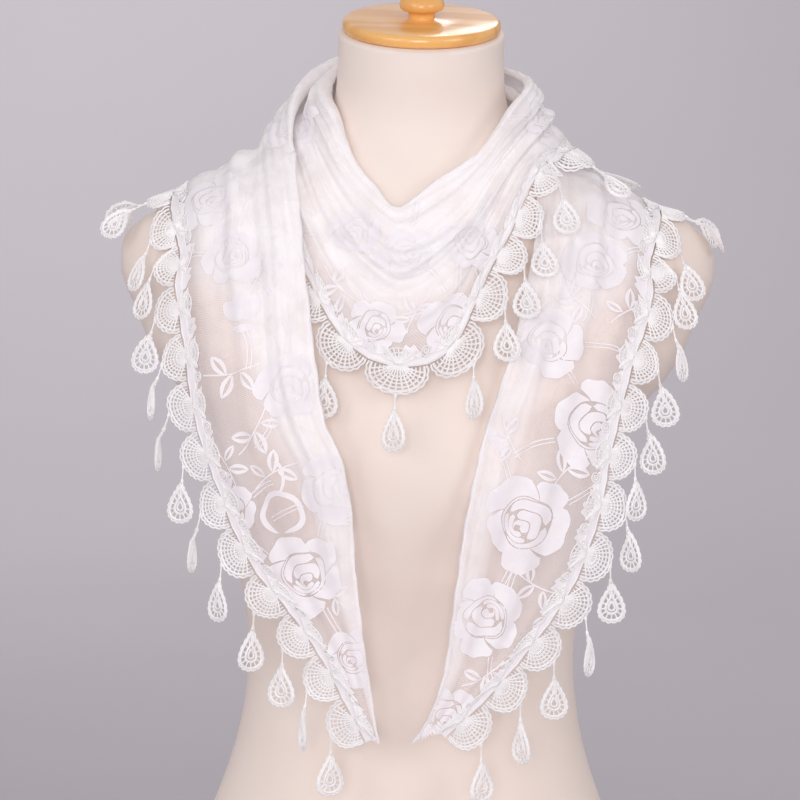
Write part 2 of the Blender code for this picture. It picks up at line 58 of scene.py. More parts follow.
# %% Sizes of the form and of the surface under the cloth
# height, half width, depth in front, depth behind, roundness of the section
FORM_LEVELS = (
    (0, 152, 104, 104, 2.1),
    (40, 155, 107, 108, 2.1),
    (80, 151, 107, 107, 2.1),
    (125, 138, 100, 100, 2.1),
    (165, 124, 91, 92, 2.1),
    (200, 116, 85, 86, 2.1),
    (235, 113, 84, 83, 2.1),
    (270, 116, 90, 83, 2.1),
    (310, 125, 103, 87, 2.1),
    (345, 134, 116, 91, 2.1),
    (378, 141, 122, 95, 2.1),
    (405, 150, 119, 98, 2.15),
    (428, 170, 113, 100, 2.2),
    (450, 184, 105, 101, 2.25),
    (472, 193, 97, 101, 2.25),
    (495, 203, 88, 100, 2.2),
    (511, 205, 81, 97, 2.15),
    (525, 202, 76, 94, 2.1),
    (537, 190, 72, 89, 2.05),
    (549, 163, 68, 84, 2.0),
    (560, 131, 64, 79, 2.0),
    (571, 102, 60, 74, 2.0),
    (584, 79, 57, 67, 2.0),
    (602, 66, 56, 61, 2.0),
    (622, 59, 56, 57, 2.0),
    (645, 57, 57, 55, 2.0),
    (667, 57, 57, 55, 2.0),
)
DRAPE_LEVELS = (
    (60, 196, 112, 112, 2.2),
    (150, 196, 114, 112, 2.2),
    (240, 199, 120, 110, 2.2),
    (310, 202, 126, 108, 2.2),
    (365, 206, 129, 107, 2.2),
    (405, 210, 126, 107, 2.2),
    (440, 213, 117, 107, 2.2),
    (472, 213, 106, 106, 2.2),
    (497, 212, 95, 105, 2.15),
    (513, 208, 86, 100, 2.1),
    (527, 202, 80, 95, 2.08),
    (539, 188, 76, 90, 2.03),
    (551, 161, 72, 85, 2.0),
    (562, 131, 69, 80, 2.0),
    (575, 105, 66, 76, 2.0),
    (594, 89, 65, 72, 2.0),
    (615, 77, 64, 68, 2.0),
    (635, 68, 63, 65, 2.0),
    (655, 64, 63, 62, 2.0),
    (675, 62, 63, 60, 2.0),
)
NECK_LEAN_START = 602   # above this height the neck leans forward
NECK_LEAN = 0.14        # run forward for each rise
NECK_CUT_SLOPE = 0.33   # fall of the neck's top cut towards the front
NECK_TOP = FORM_LEVELS[-1][0]

# %% [markdown]
# A smooth curve through the rows of a table gives any size between two rows. The Catmull-Rom
# curve is chosen because it passes through every row, so the table's numbers stay true.

# %% Curves through tables
def smooth_between(rows, place):
    """The columns of a table at a place between its rows."""
    last = len(rows) - 1
    row = min(int(place), last - 1)
    part = place - row
    before = rows[max(row - 1, 0)]
    start = rows[row]
    end = rows[row + 1]
    after = rows[min(row + 2, last)]
    values = []
    for p0, p1, p2, p3 in zip(before, start, end, after):
        slope_1 = (p2 - p0) / 2
        slope_2 = (p3 - p1) / 2
        bend = 2 * (p1 - p2) + slope_1 + slope_2
        sag = 3 * (p2 - p1) - 2 * slope_1 - slope_2
        values.append(((bend * part + sag) * part + slope_1) * part + p1)
    return values


def level_at(levels, height):
    """Half width, front depth, back depth and roundness at a height."""
    row = np.interp(height, [level[0] for level in levels], range(len(levels)))
    return smooth_between([level[1:] for level in levels], row)


def lean(height):
    return -NECK_LEAN * max(0.0, height - NECK_LEAN_START)


def section_ring(levels, height, sides, inset=0.0, tilt=0.0):
    """One section of a loft, from +X round the back. A tilt slopes it, as at the neck's cut."""
    half_width, front, back, roundness = level_at(levels, height)
    power = 2 / roundness
    ring = []
    for side in range(sides):
        angle = 2 * math.pi * side / sides
        across, deep = math.cos(angle), math.sin(angle)
        x = (half_width - inset) * math.copysign(abs(across) ** power, across)
        y = ((back if deep > 0 else front) - inset) * math.copysign(abs(deep) ** power, deep)
        ring.append(Vector((x, y + lean(height), height + tilt * y)) * MM)
    return ring


def loft_faces(ring_count, sides, closed=True):
    """Quads between rings of points, or between open rows."""
    faces = []
    for low in range(0, (ring_count - 1) * sides, sides):
        high = low + sides
        for side in range(sides if closed else sides - 1):
            beside = (side + 1) % sides
            faces.append((low + side, low + beside, high + beside, high + side))
    return faces


def capped_faces(ring_count, sides):
    """The quads of a closed body, with one face on its first ring and one on its last."""
    last = (ring_count - 1) * sides
    ends = [tuple(reversed(range(sides))), tuple(range(last, last + sides))]
    return loft_faces(ring_count, sides) + ends


print("form at the bust, mm:", [round(value, 1) for value in level_at(FORM_LEVELS, 378)])

# %% [markdown]
# Every material below is mixed by formulas. A thin wrapper round a node's socket lets them be
# written as ordinary arithmetic, which is far easier to read than a drawing of nodes.

# %% A wrapper for shader arithmetic
class Wire:
    """An output of a node that can be used in arithmetic."""

    def __init__(self, paint, socket):
        self.paint = paint
        self.socket = socket

    def work(self, operation, first, second=0.0):
        return self.paint.node("Math", {0: first, 1: second}, operation=operation)

    def __add__(self, other):
        return self.work("ADD", self, other)

    def __sub__(self, other):
        return self.work("SUBTRACT", self, other)

    def __rsub__(self, other):
        return self.work("SUBTRACT", other, self)

    def __mul__(self, other):
        return self.work("MULTIPLY", self, other)

    __radd__ = __add__
    __rmul__ = __mul__

    def below(self, other):
        return self.work("MINIMUM", self, other)

    def sine(self):
        return self.work("SINE", self)

    def wave(self, length):
        """A zigzag from 0 to 1 and back, once each length."""
        return self.work("PINGPONG", self, length / 2) * (2 / length)


class Paint:
    """One material while it is mixed."""

    def __init__(self, name, roughness, **constants):
        self.material = bpy.data.materials.new(name)
        self.material.use_nodes = True
        self.tree = self.material.node_tree
        self.skin = self.tree.nodes["Principled BSDF"]
        self.give("Roughness", roughness)
        for key, value in constants.items():
            self.give(key.replace("_", " ").title().replace("Ior", "IOR"), value)

    def feed(self, socket, value):
        if isinstance(value, Wire):
            self.tree.links.new(value.socket, socket)
        elif isinstance(value, tuple) and len(value) == 3 and socket.type == "RGBA":
            socket.default_value = (*value, 1.0)
        else:
            socket.default_value = value

    def node(self, kind, inputs, output=0, **settings):
        """Adds a node: its settings first, then the values or wires of its sockets."""
        made = self.tree.nodes.new("ShaderNode" + kind)
        for key, value in settings.items():
            setattr(made, key, value)
        for key, value in inputs.items():
            self.feed(made.inputs[key], value)
        return Wire(self, made.outputs[output])

    def give(self, key, value):
        """Feeds one input of the surface itself."""
        self.feed(self.skin.inputs[key], value)

    def mix(self, factor, first, second):
        return self.node("Mix", {0: factor, 6: first, 7: second}, 2, data_type="RGBA")

    def ramp(self, value, low, high):
        """0 below low, 1 above high and smooth between."""
        inputs = {"Value": value, "From Min": low, "From Max": high}
        return self.node("MapRange", inputs, interpolation_type="SMOOTHSTEP")

    def cloud(self, place, scale, detail=2.0):
        return self.node("TexNoise", {"Vector": place, "Scale": scale, "Detail": detail})

    def bump(self, height, strength, distance):
        inputs = {"Height": height, "Strength": strength, "Distance": distance}
        self.give("Normal", self.node("Bump", inputs))

    def place(self):
        """Where a point is on its object, in metres."""
        return self.node("TexCoord", {}, 3)

    def split(self, vector):
        made = self.tree.nodes.new("ShaderNodeSeparateXYZ")
        self.feed(made.inputs[0], vector)
        return [Wire(self, socket) for socket in made.outputs]

    def join(self, x, y, z=0.0):
        return self.node("CombineXYZ", {0: x, 1: y, 2: z})


print("shader wrapper ready")

# %% [markdown]
# The form's skin is a smooth, matt cream shell. On the real one it is sprayed or covered, so its
# colour wanders a little and it has a very fine grain. Two scales of noise give both. A flat
# colour would look like a toy.

# %% The cream skin
CREAMS = (0.85, 0.727, 0.653), (0.88, 0.768, 0.70)


def mix_skin():
    paint = Paint("form_cream", 0.55, specular_ior_level=0.35)
    place = paint.place()
    blotch = paint.cloud(place, 9.0, 3.0)
    grain = paint.cloud(place, 900.0, 1.0)
    paint.give("Base Color", paint.mix(paint.ramp(blotch, 0.35, 0.7), *CREAMS))
    paint.give("Roughness", 0.5 + 0.12 * blotch)
    paint.bump(grain, 0.06, 0.0004)
    return paint.material


skin = mix_skin()
print("made", skin.name)

# %% [markdown]
# The neck cap is turned from a light board and varnished. Its grain runs across the disc: long
# rings, a little wavy, cut almost along their length. A stretched noise bends the distance from
# the tree's middle, and a sine of it gives early and late wood. Clear varnish is a coat.

# %% The varnished wood
EARLY_WOOD = (0.90, 0.48, 0.14)
LATE_WOOD = (0.74, 0.34, 0.08)
PORE_BROWN = (0.40, 0.16, 0.04)


def mix_wood():
    paint = Paint("cap_wood", 0.4, coat_weight=0.7, coat_roughness=0.12)
    x, y, z = paint.split(paint.place())
    drift = paint.cloud(paint.join(x * 3.0, y * 22.0, z * 22.0), 1.0, 3.0)
    rings = (y * 260.0 + x * 30.0 + drift * 16.0).sine()
    pores = paint.cloud(paint.join(x * 60.0, y * 1400.0, z * 1400.0), 1.0)
    late = paint.ramp(rings, -0.4, 0.95)
    wood = paint.mix(late * 0.55, EARLY_WOOD, LATE_WOOD)
    paint.give("Base Color", paint.mix(paint.ramp(pores, 0.58, 0.75) * 0.35, wood, PORE_BROWN))
    paint.give("Roughness", 0.34 + 0.14 * late)
    paint.bump(pores, 0.08, 0.0003)
    return paint.material


wood = mix_wood()
print("made", wood.name)

# %% [markdown]
# A small helper turns points and faces into a piece that rides on the part. Pieces are plain
# meshes made from numbers, because their form comes from formulas and not from a tool's handles.

# %% Pieces from points
# the edges between faces that meet at more than this angle, in degrees, are sharp
FORM_SHARP = 50
CAP_SHARP = 60
CORD_SHARP = 80
NEVER_SHARP = 180


def put(name, data):
    """A new object in the scene."""
    thing = bpy.data.objects.new(name, data)
    bpy.context.scene.collection.objects.link(thing)
    return thing


def make_mesh(name, points, faces, material, sharp=NEVER_SHARP):
    mesh = bpy.data.meshes.new(name)
    mesh.from_pydata([tuple(point) for point in points], [], faces)
    mesh.validate()
    mesh.shade_smooth()
    mesh.set_sharp_from_angle(angle=math.radians(sharp))
    mesh.materials.append(material)
    return mesh


def make_piece(name, points, faces, material, sharp):
    """A mesh piece on the part's one body."""
    mesh = make_mesh(name, points, faces, material, sharp)
    piece = put(name, mesh)
    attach(piece, "root")
    print(name, len(mesh.vertices), "points", len(mesh.polygons), "faces")
    return piece


# %% [markdown]
# The form's body follows the same levels as the plain solid, but in many more steps, so that
# its outline has no corners. It ends in a small rounded edge under the hips, where it stands.

# %% The dress form
FORM_SIDES = 180
FORM_STEP = 4
# height, how far in from the outline
FOOT_ROUND = ((0, 4.0), (1, 1.8), (3, 0.5))
TOP_ROUND = ((NECK_TOP - 1, 0.0), (NECK_TOP, 1.0))


def make_form():
    steps = range(FOOT_ROUND[-1][0] + FORM_STEP, NECK_TOP, FORM_STEP)
    rows = [*FOOT_ROUND, *((height, 0.0) for height in steps), *TOP_ROUND]
    points = []
    for height, inset in rows:
        tilt = NECK_CUT_SLOPE * max(0.0, (height - NECK_LEAN_START) / (NECK_TOP - NECK_LEAN_START))
        points += section_ring(FORM_LEVELS, height, FORM_SIDES, inset, tilt)
    faces = capped_faces(len(rows), FORM_SIDES)
    return make_piece("dress_form", points, faces, skin, FORM_SHARP)


form = make_form()
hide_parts("form_torso")

# %% [markdown]
# The cap is turned: one outline, spun round. It is a thin disc with rounded edges and a plain
# knob. A lathe leaves soft corners, so the outline has more rows than the plain solid's.

# %% The neck cap
CAP_SIDES = 96
CAP_GAP = 0.3
# radius, height above the cap's flat underside
CAP_OUTLINE = (
    (50.5, 0),
    (52.2, 0.2),
    (53.5, 1.0),
    (54.3, 2.4),
    (54.5, 4.2),
    (54.3, 6.0),
    (53.5, 7.4),
    (52.2, 8.2),
    (50.5, 8.5),
    (30, 8.6),
    (10.5, 8.7),
    (9.2, 9.2),
    (9, 11),
    (9.2, 13.4),
    (10.6, 14.6),
    (13.5, 15.1),
    (15.0, 16.3),
    (15.5, 18.4),
    (15.1, 20.8),
    (13.4, 23.6),
    (10.6, 25.7),
    (7.0, 26.7),
    (3.0, 27.0),
)


def make_cap():
    slope = Matrix.Rotation(math.atan(NECK_CUT_SLOPE), 3, "X")
    foot = Vector((0, lean(NECK_TOP), NECK_TOP)) + slope @ Vector((0, 0, CAP_GAP))
    points = []
    for radius, height in CAP_OUTLINE:
        for side in range(CAP_SIDES):
            angle = 2 * math.pi * side / CAP_SIDES
            point = Vector((radius * math.cos(angle), radius * math.sin(angle), height))
            points.append((foot + slope @ point) * MM)
    faces = capped_faces(len(CAP_OUTLINE), CAP_SIDES)
    return make_piece("turned_cap", points, faces, wood, CAP_SHARP)


cap = make_cap()
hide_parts("neck_cap")

# %% [markdown]
# The shawl is one triangle of lace. Its long plain edge goes round the neck and its two short
# edges carry the trim. The table gives the whole winding as sections across the cloth, from the
# right end, round the back of the neck, across the throat, round the back again and down to the
# left end. The front's depth is left open in many rows, and is found on the surface below.

# %% How the shawl lies
# neck edge x, y, z; trimmed edge x, y, z; depth of the folds; height above the surface at the
# neck edge and at the trimmed edge
FRONT = None
OUTER_STRIP = (
    (-14, FRONT, 542, -8, FRONT, 443, 6, 5, 5),
    (10, FRONT, 560, 10, FRONT, 446, 6, 7, 7),
    (32, FRONT, 575, 23, FRONT, 458, 6, 9, 9),
    (47, FRONT, 595, 32, FRONT, 476, 5, 10, 10),
    (57, FRONT, 612, 43, FRONT, 501, 5, 10, 10),
    (63, -12, 628, 57, FRONT, 529, 4, 8, 10),
    (60, 14, 638, 74, -24, 566, 4, 7, 10),
    (45, 42, 648, 86, 30, 568, 4, 7, 10),
    (14, 60, 656, 70, 76, 540, 4, 8, 10),
    (-22, 58, 656, 20, 100, 498, 4, 10, 10),
    (-52, 38, 648, -62, 104, 470, 4, 12, 10),
    (-70, 10, 630, -142, 70, 492, 4, 14, 7),
    (-80, -20, 602, -159, 16, 543, 4, 12, 7),
    (-81, FRONT, 566, -155, FRONT, 518, 4, 10, 5),
    (-78, FRONT, 533, -156, FRONT, 490, 4, 10, 4),
    (-75, FRONT, 500, -152, FRONT, 469, 4, 10, 4),
    (-70, FRONT, 468, -147, FRONT, 443, 4, 10, 4),
    (-65, FRONT, 434, -142, FRONT, 414, 4, 10, 4),
    (-59, FRONT, 404, -133, FRONT, 384, 4, 10, 4),
    (-48, FRONT, 380, -122, FRONT, 355, 4, 8, 3),
    (-41, FRONT, 346, -112, FRONT, 330, 4, 4, 2),
    (-38, FRONT, 312, -98, FRONT, 306, 3.5, 2, 2),
    (-34, FRONT, 280, -81, FRONT, 287, 3, 2, 2),
    (-30, FRONT, 250, -63, FRONT, 263, 2.5, 2, 2),
    (-26, FRONT, 227, -48, FRONT, 238, 2, 2, 2),
    (-23, FRONT, 208, -36, FRONT, 215, 1, 2, 2),
    (-20, FRONT, 194, -26, FRONT, 197, 0, 2, 2),
)
INNER_STRIP = (
    (-14, FRONT, 542, -8, FRONT, 443, 6, 5, 5),
    (-29, FRONT, 557, -27, FRONT, 447, 5, 3, 3),
    (-42, FRONT, 573, -44, FRONT, 459, 4, 0.3, 0.3),
    (-52, FRONT, 590, -58, FRONT, 478, 4, 0.3, 0.3),
    (-60, FRONT, 606, -71, FRONT, 502, 4, 0.3, 0.3),
    (-64, -14, 624, -84, FRONT, 530, 4, 0.3, 0.3),
    (-60, 14, 640, -97, -14, 564, 3.5, 0.3, 0.3),
    (-44, 42, 650, -92, 48, 560, 3.5, 0.3, 0.3),
    (-14, 60, 654, -68, 86, 524, 3.5, 0.3, 0.3),
    (22, 58, 652, -8, 104, 484, 3.5, 0.3, 0.3),
    (52, 38, 638, 64, 104, 466, 3.5, 0.3, 0.3),
    (67, 10, 622, 140, 72, 490, 3.5, 0.3, 0.3),
    (77, -22, 598, 157, 16, 542, 3.5, 0.3, 0.3),
    (79, FRONT, 564, 153, FRONT, 518, 3.5, 0.3, 0.3),
    (79, FRONT, 532, 153, FRONT, 492, 3.5, 0.3, 0.3),
    (74, FRONT, 500, 148, FRONT, 470, 3.5, 0.3, 0.3),
    (67, FRONT, 468, 139, FRONT, 446, 3.5, 0.3, 0.3),
    (58, FRONT, 436, 131, FRONT, 415, 3.5, 0.3, 0.3),
    (47, FRONT, 402, 124, FRONT, 385, 3.5, 0.3, 0.3),
    (40, FRONT, 372, 119, FRONT, 357, 3.5, 2, 2),
    (34, FRONT, 340, 112, FRONT, 330, 3.5, 2, 2),
    (30, FRONT, 306, 102, FRONT, 304, 3, 2, 2),
    (26, FRONT, 272, 87, FRONT, 279, 2.5, 2, 2),
    (22, FRONT, 242, 70, FRONT, 256, 2, 2, 2),
    (15, FRONT, 219, 52, FRONT, 234, 1.5, 2, 2),
    (8, FRONT, 205, 35, FRONT, 216, 1, 2, 2),
    (2, FRONT, 196, 20, FRONT, 202, 0, 2, 2),
)
MIDDLE = len(INNER_STRIP) - 1   # the place of the throat in the whole winding

# %% [markdown]
# The surface under the cloth is a fine loft in a search tree. The tree answers two questions in
# an instant: how deep is the front behind a point of the front view, and which place of the
# surface is nearest. With it cloth can be laid by formula, with no slow simulation.

# %% The surface under the cloth
DRAPE_SIDES = 144
DRAPE_STEP = 5


class Drape:
    """The smooth surface that the cloth lies over."""

    def __init__(self):
        heights = range(DRAPE_LEVELS[0][0], DRAPE_LEVELS[-1][0] + 1, DRAPE_STEP)
        points = []
        for height in heights:
            points += section_ring(DRAPE_LEVELS, height, DRAPE_SIDES)
        self.tree = BVHTree.FromPolygons(points, loft_faces(len(heights), DRAPE_SIDES))

    def front(self, x, z):
        start = Vector((x * MM, -1.0, z * MM))
        return self.tree.ray_cast(start, Vector((0, 1, 0)))[0].y / MM

    def settle(self, point):
        """The nearest place on the surface, and the way out of it."""
        place, out, _, _ = self.tree.find_nearest(point)
        return place, out

    def rest(self, point, height, lift=None):
        """How a point moves to lie at least this height up, and no more than the lift higher."""
        place, out = self.settle(point)
        above = (point - place).dot(out) / MM
        if above < height:
            return out * (height - above) * MM
        if lift is not None and above > height + lift:
            return out * (height + lift - above) * MM
        return Vector()


def fill_front(rows, drape):
    filled = []
    for row in rows:
        row = list(row)
        for start in (0, 3):
            if row[start + 1] is FRONT:
                row[start + 1] = drape.front(row[start], row[start + 2])
        filled.append(row)
    return filled


drape = Drape()
winding = list(reversed(fill_front(INNER_STRIP, drape)[1:])) + fill_front(OUTER_STRIP, drape)
print("sections of the winding:", len(winding))

# %% [markdown]
# Soft net falls into folds wherever it is drawn together: close pleats along the neck edge of the
# hanging ends, wide swags at the throat, and long ones over the shoulders. The three main waves
# are in the solids too. The smaller folds are listed one by one, each a soft ridge or trough that
# starts, wanders and dies out, because folds that are all alike look pressed in.

# %% Folds
FOLD_WAVES = 3
FOLD_STEEPNESS = 0.12   # greatest height of a wave, as a share of its width
NECK_FADE = 4           # the waves are full from a quarter of the way across
TRIM_FADE = 5           # and die out over the last fifth
LAYER_CURVE = 3         # the layer's height changes late, near the trimmed edge
# first place, last place, how far across at the first and at the last, half width and height in mm
FOLDS = (
    (-2, 15, 0.04, 0.03, 2.6, 2.2),
    (0, 17, 0.11, 0.09, 3.0, 2.0),
    (1, 16, 0.19, 0.15, 3.2, 2.2),
    (3, 18, 0.28, 0.22, 3.6, 1.5),
    (7, 18, 0.40, 0.36, 4.0, -1.0),
    (8, 20, 0.52, 0.50, 4.4, 1.4),
    (10, 19, 0.66, 0.62, 4.0, 1.3),
    (11, 17, 0.78, 0.80, 4.4, -0.8),
    (2, 9, 0.55, 0.60, 5.0, 0.9),
    (15, 24, 0.10, 0.12, 3.0, 1.8),
    (16, 25, 0.30, 0.27, 3.2, 1.6),
    (16, 24, 0.45, 0.44, 3.0, -0.9),
    (15, 23, 0.58, 0.62, 3.4, 1.5),
    (17, 24, 0.84, 0.80, 3.4, 1.2),
    (19, 30, 0.08, 0.05, 2.4, 1.4),
    (20, 33, 0.16, 0.14, 2.8, 1.9),
    (21, 31, 0.30, 0.24, 2.6, -1.6),
    (20, 34, 0.36, 0.33, 2.6, 1.9),
    (22, 29, 0.47, 0.43, 2.6, -2.0),
    (21, 33, 0.54, 0.52, 3.0, 2.6),
    (23, 32, 0.66, 0.60, 2.8, 2.2),
    (22, 30, 0.74, 0.78, 2.8, -1.6),
    (23, 30, 0.84, 0.86, 3.2, 1.5),
    (29, 39, 0.08, 0.12, 2.8, 1.8),
    (29, 38, 0.24, 0.22, 3.0, 1.7),
    (30, 38, 0.40, 0.45, 3.2, -1.0),
    (29, 37, 0.52, 0.60, 3.2, 1.6),
    (30, 38, 0.70, 0.78, 3.6, 1.3),
    (36, 50, 0.04, 0.05, 2.6, 2.2),
    (35, 53, 0.12, 0.13, 2.8, 2.1),
    (36, 52, 0.20, 0.22, 3.0, 2.3),
    (35, 51, 0.28, 0.31, 3.4, 1.9),
    (36, 46, 0.38, 0.44, 3.6, -1.2),
    (34, 45, 0.50, 0.56, 4.0, 1.5),
    (35, 44, 0.62, 0.70, 4.2, 1.2),
    (36, 42, 0.76, 0.82, 4.0, -0.8),
    (44, 52, 0.62, 0.50, 5.0, 0.8),
)
FOLD_FULL_WIDTH = 60    # where the cloth is narrower than this, in mm, the small folds are lower
WANDER = 0.02           # how far a small fold strays, as a share of the way across
CRUMPLE = 0.35          # depth of the small unevenness, in mm
CRUMPLE_FINENESS = 90   # how often it changes in a metre
CRUMPLE_FADE = 8        # it dies out over the last eighth of the way across


def fold_height(across, depth, width):
    """The three main waves, dying out at both edges and where the cloth is narrow."""
    edge = min(1.0, NECK_FADE * across) * min(1.0, TRIM_FADE * (1 - across))
    wave = 0.5 - 0.5 * math.cos(2 * math.pi * FOLD_WAVES * across)
    return min(depth, FOLD_STEEPNESS * width / FOLD_WAVES) * edge * wave


def small_folds(place, across, width):
    """The folds of the table at one point of the cloth."""
    height = 0.0
    for first, last, start, end, half_width, rise in FOLDS:
        if first < place < last:
            part = (place - first) / (last - first)
            wander = WANDER * math.sin(7 * place / 5 + first)
            away = (across - start - (end - start) * part - wander) * width / half_width
            height += rise * math.exp(-away * away) * math.sin(math.pi * part) ** 0.5
    return height * min(1.0, width / FOLD_FULL_WIDTH)


print("small folds:", len(FOLDS))

# %% [markdown]
# One sheet covers the whole winding. Each section is a line on the surface below, cut into even
# steps and raised by its layer and its folds. The sections follow each other a few millimetres
# apart, so that the folds keep their form.

# %% The fine grid of the cloth
ACROSS = 64
CLOTH_STEP = 3.4        # between two sections, along the trimmed edge
LINE_STEPS = 36         # places that find the line of a section before it is evened
MARKS_A_ROW = 20        # places that measure the trimmed edge, for each row of the table
HALF_WALL = 0.6         # the sheet runs in the middle of the solid's wall


def runs(points, axis=0):
    """Lengths along lines of points, up to each of them."""
    steps = np.linalg.norm(np.diff(points, axis=axis), axis=-1)
    return np.insert(np.cumsum(steps, axis=axis), 0, 0.0, axis=axis)


def points_at(wanted, lengths, line):
    """Points of a line at these lengths along it."""
    return np.stack([np.interp(wanted, lengths, line[:, axis]) for axis in range(3)], axis=-1)


def even_points(points, steps):
    """Points of a line with equal lengths between them, and the line's length."""
    lengths = [0.0]
    for before, after in zip(points, points[1:]):
        lengths.append(lengths[-1] + (after - before).length)
    evened = []
    index = 0
    for step in range(steps + 1):
        wanted = lengths[-1] * step / steps
        while index < len(points) - 2 and lengths[index + 1] < wanted:
            index += 1
        run = lengths[index + 1] - lengths[index]
        part = (wanted - lengths[index]) / run if run > 0 else 0.0
        evened.append(points[index].lerp(points[index + 1], min(part, 1.0)))
    return evened, lengths[-1]


def section(place):
    """One section across the cloth: its points without folds, the ways out and the folds."""
    values = smooth_between(winding, place)
    neck_edge = Vector(values[0:3]) * MM
    trimmed_edge = Vector(values[3:6]) * MM
    depth, neck_height, trim_height = values[6:9]
    straight = [neck_edge.lerp(trimmed_edge, step / LINE_STEPS) for step in range(LINE_STEPS + 1)]
    evened, length = even_points([drape.settle(point)[0] for point in straight], ACROSS)
    width = length / MM
    points = []
    outs = []
    folds = []
    for step, point in enumerate(evened):
        ground, out = drape.settle(point)
        across = step / ACROSS
        height = neck_height + (trim_height - neck_height) * across ** LAYER_CURVE
        points.append(tuple(ground + out * (height + HALF_WALL) * MM))
        outs.append(tuple(out))
        fade = min(1.0, CRUMPLE_FADE * (1 - across))
        crumple = CRUMPLE * noise.noise(point * CRUMPLE_FINENESS) * fade
        fold = fold_height(across, depth, width) + small_folds(place, across, width)
        folds.append(fold + crumple)
    return points, outs, folds


def marks_between(first, last):
    """Places close together in the winding, and the lengths of trimmed edge up to them."""
    marks = np.linspace(first, last, int(abs(last - first) * MARKS_A_ROW) + 1)
    return marks, runs(np.array([smooth_between(winding, mark)[3:6] for mark in marks]))


def even_places(first, last, count):
    """Places in the winding with equal lengths of trimmed edge between them."""
    marks, lengths = marks_between(first, last)
    return np.interp(np.linspace(0, lengths[-1], count + 1), lengths, marks)


def index_at(places):
    """Where places of the winding lie in the list of sections."""
    return np.interp(places, section_places, np.arange(len(section_places)))


LAST_PLACE = len(winding) - 1
edge_length = marks_between(0, LAST_PLACE)[1][-1]
section_places = even_places(0, LAST_PLACE, int(edge_length / CLOTH_STEP))
sections = [section(section_place) for section_place in section_places]
base = np.array([points for points, _, _ in sections])
base_outs = np.array([outs for _, outs, _ in sections])
folds = np.array([heights for _, _, heights in sections])
print("trimmed edge, mm:", round(edge_length), "sections:", len(sections))

# %% [markdown]
# Between neck and shoulder the surface is hollow, and a sheet raised from it would cross itself
# there. Real cloth spans the hollow. Averaging each point with its neighbours many times, with the
# edges held, does the same. Only then are the folds raised, along the ways out of the calm sheet.

# %% Span the hollows and raise the folds
CALMING_ALONG = 10
CALMING_ACROSS = 16


def unit(vectors):
    return vectors / np.maximum(np.linalg.norm(vectors, axis=-1, keepdims=True), 1e-12)


def ways_out(points, outs):
    along = np.gradient(points, axis=0)
    across = np.gradient(points, axis=1)
    ways = unit(np.cross(along, across))
    turned = np.sum(ways * outs, axis=-1, keepdims=True) < 0
    return np.where(turned, -ways, ways)


def calm(points):
    points = points.copy()
    for _ in range(CALMING_ALONG):
        inside = points[:, 1:-1]
        inside[1:-1] = (inside[:-2] + 2 * inside[1:-1] + inside[2:]) / 4
    for _ in range(CALMING_ACROSS):
        points[:, 1:-1] = (points[:, :-2] + 2 * points[:, 1:-1] + points[:, 2:]) / 4
    return points


base = calm(base)
grid_outs = unit(calm(base_outs))
base_ways = ways_out(base, grid_outs)
grid = base + base_ways * folds[..., None] * MM
cloth_ways = ways_out(grid, base_ways)
print("highest fold, mm:", round(float(folds.max()), 1))

# %% [markdown]
# Where the net is drawn together many layers lie on each other, and it is no longer sheer. A
# table says how far from the neck edge the cloth is gathered at each stretch. The value is kept
# on the mesh for the material. Painted by hand it couldn't be made again from the script.

# %% How gathered the cloth is
# place, gathered up to, clear from (shares of the way across), how dense
GATHERS = (
    (0, 0.04, 0.24, 0.50),
    (6, 0.08, 0.28, 0.62),
    (8, 0.14, 0.38, 0.70),
    (9.5, 0.22, 0.50, 0.76),
    (11, 0.42, 0.84, 0.80),
    (12.5, 0.60, 1.15, 0.82),
    (14, 0.60, 1.20, 0.82),
    (18, 0.70, 1.15, 0.76),
    (21, 0.80, 1.15, 0.84),
    (24, 0.55, 1.15, 0.90),
    (26, 0.48, 1.10, 0.90),
    (29, 0.52, 1.12, 0.88),
    (31, 0.80, 1.15, 0.84),
    (34, 0.70, 1.15, 0.76),
    (38, 0.70, 1.25, 0.82),
    (39.5, 0.68, 1.20, 0.82),
    (41, 0.46, 0.88, 0.82),
    (42.5, 0.30, 0.60, 0.84),
    (45, 0.22, 0.44, 0.80),
    (48, 0.16, 0.36, 0.66),
    (52, 0.04, 0.24, 0.45),
)
GATHER_GRAIN = 0.308    # unevenness of the gathers
GATHER_FINENESS = 55    # how often it changes in a metre


def gather_at(place, across, point):
    columns = list(zip(*GATHERS))
    full, clear, most = [np.interp(place, columns[0], columns[i]) for i in (1, 2, 3)]
    part = min(max((clear - across) / (clear - full), 0.0), 1.0)
    grain = GATHER_GRAIN * noise.noise(Vector(point) * GATHER_FINENESS)
    return min(max(most * part * part * (3 - 2 * part) + grain * part, 0.0), 1.0)


gathers = []
for section_place, points in zip(section_places, grid):
    gathers += [gather_at(section_place, i / ACROSS, point) for i, point in enumerate(points)]
print("mean gather:", round(sum(gathers) / len(gathers), 2))

# %% [markdown]
# The ground of the lace is a very fine net. Its holes are about as wide as two threads, and at
# arm's length it is only a pale haze. Real holes would need millions of faces, so the net is
# drawn in the alpha: two sets of slanting threads, at real size, measured on the cloth itself.

# %% The net
NET_CELL = 0.0012       # from thread to thread, in metres
NET_THREAD = 0.30       # share of the cell that is thread
SLANT = (0.86, 0.5)     # how a thread's slant counts the run along the cloth and the run across it
NET_WHITES = (0.96, 0.885, 0.895), (0.96, 0.92, 0.925)      # single, gathered


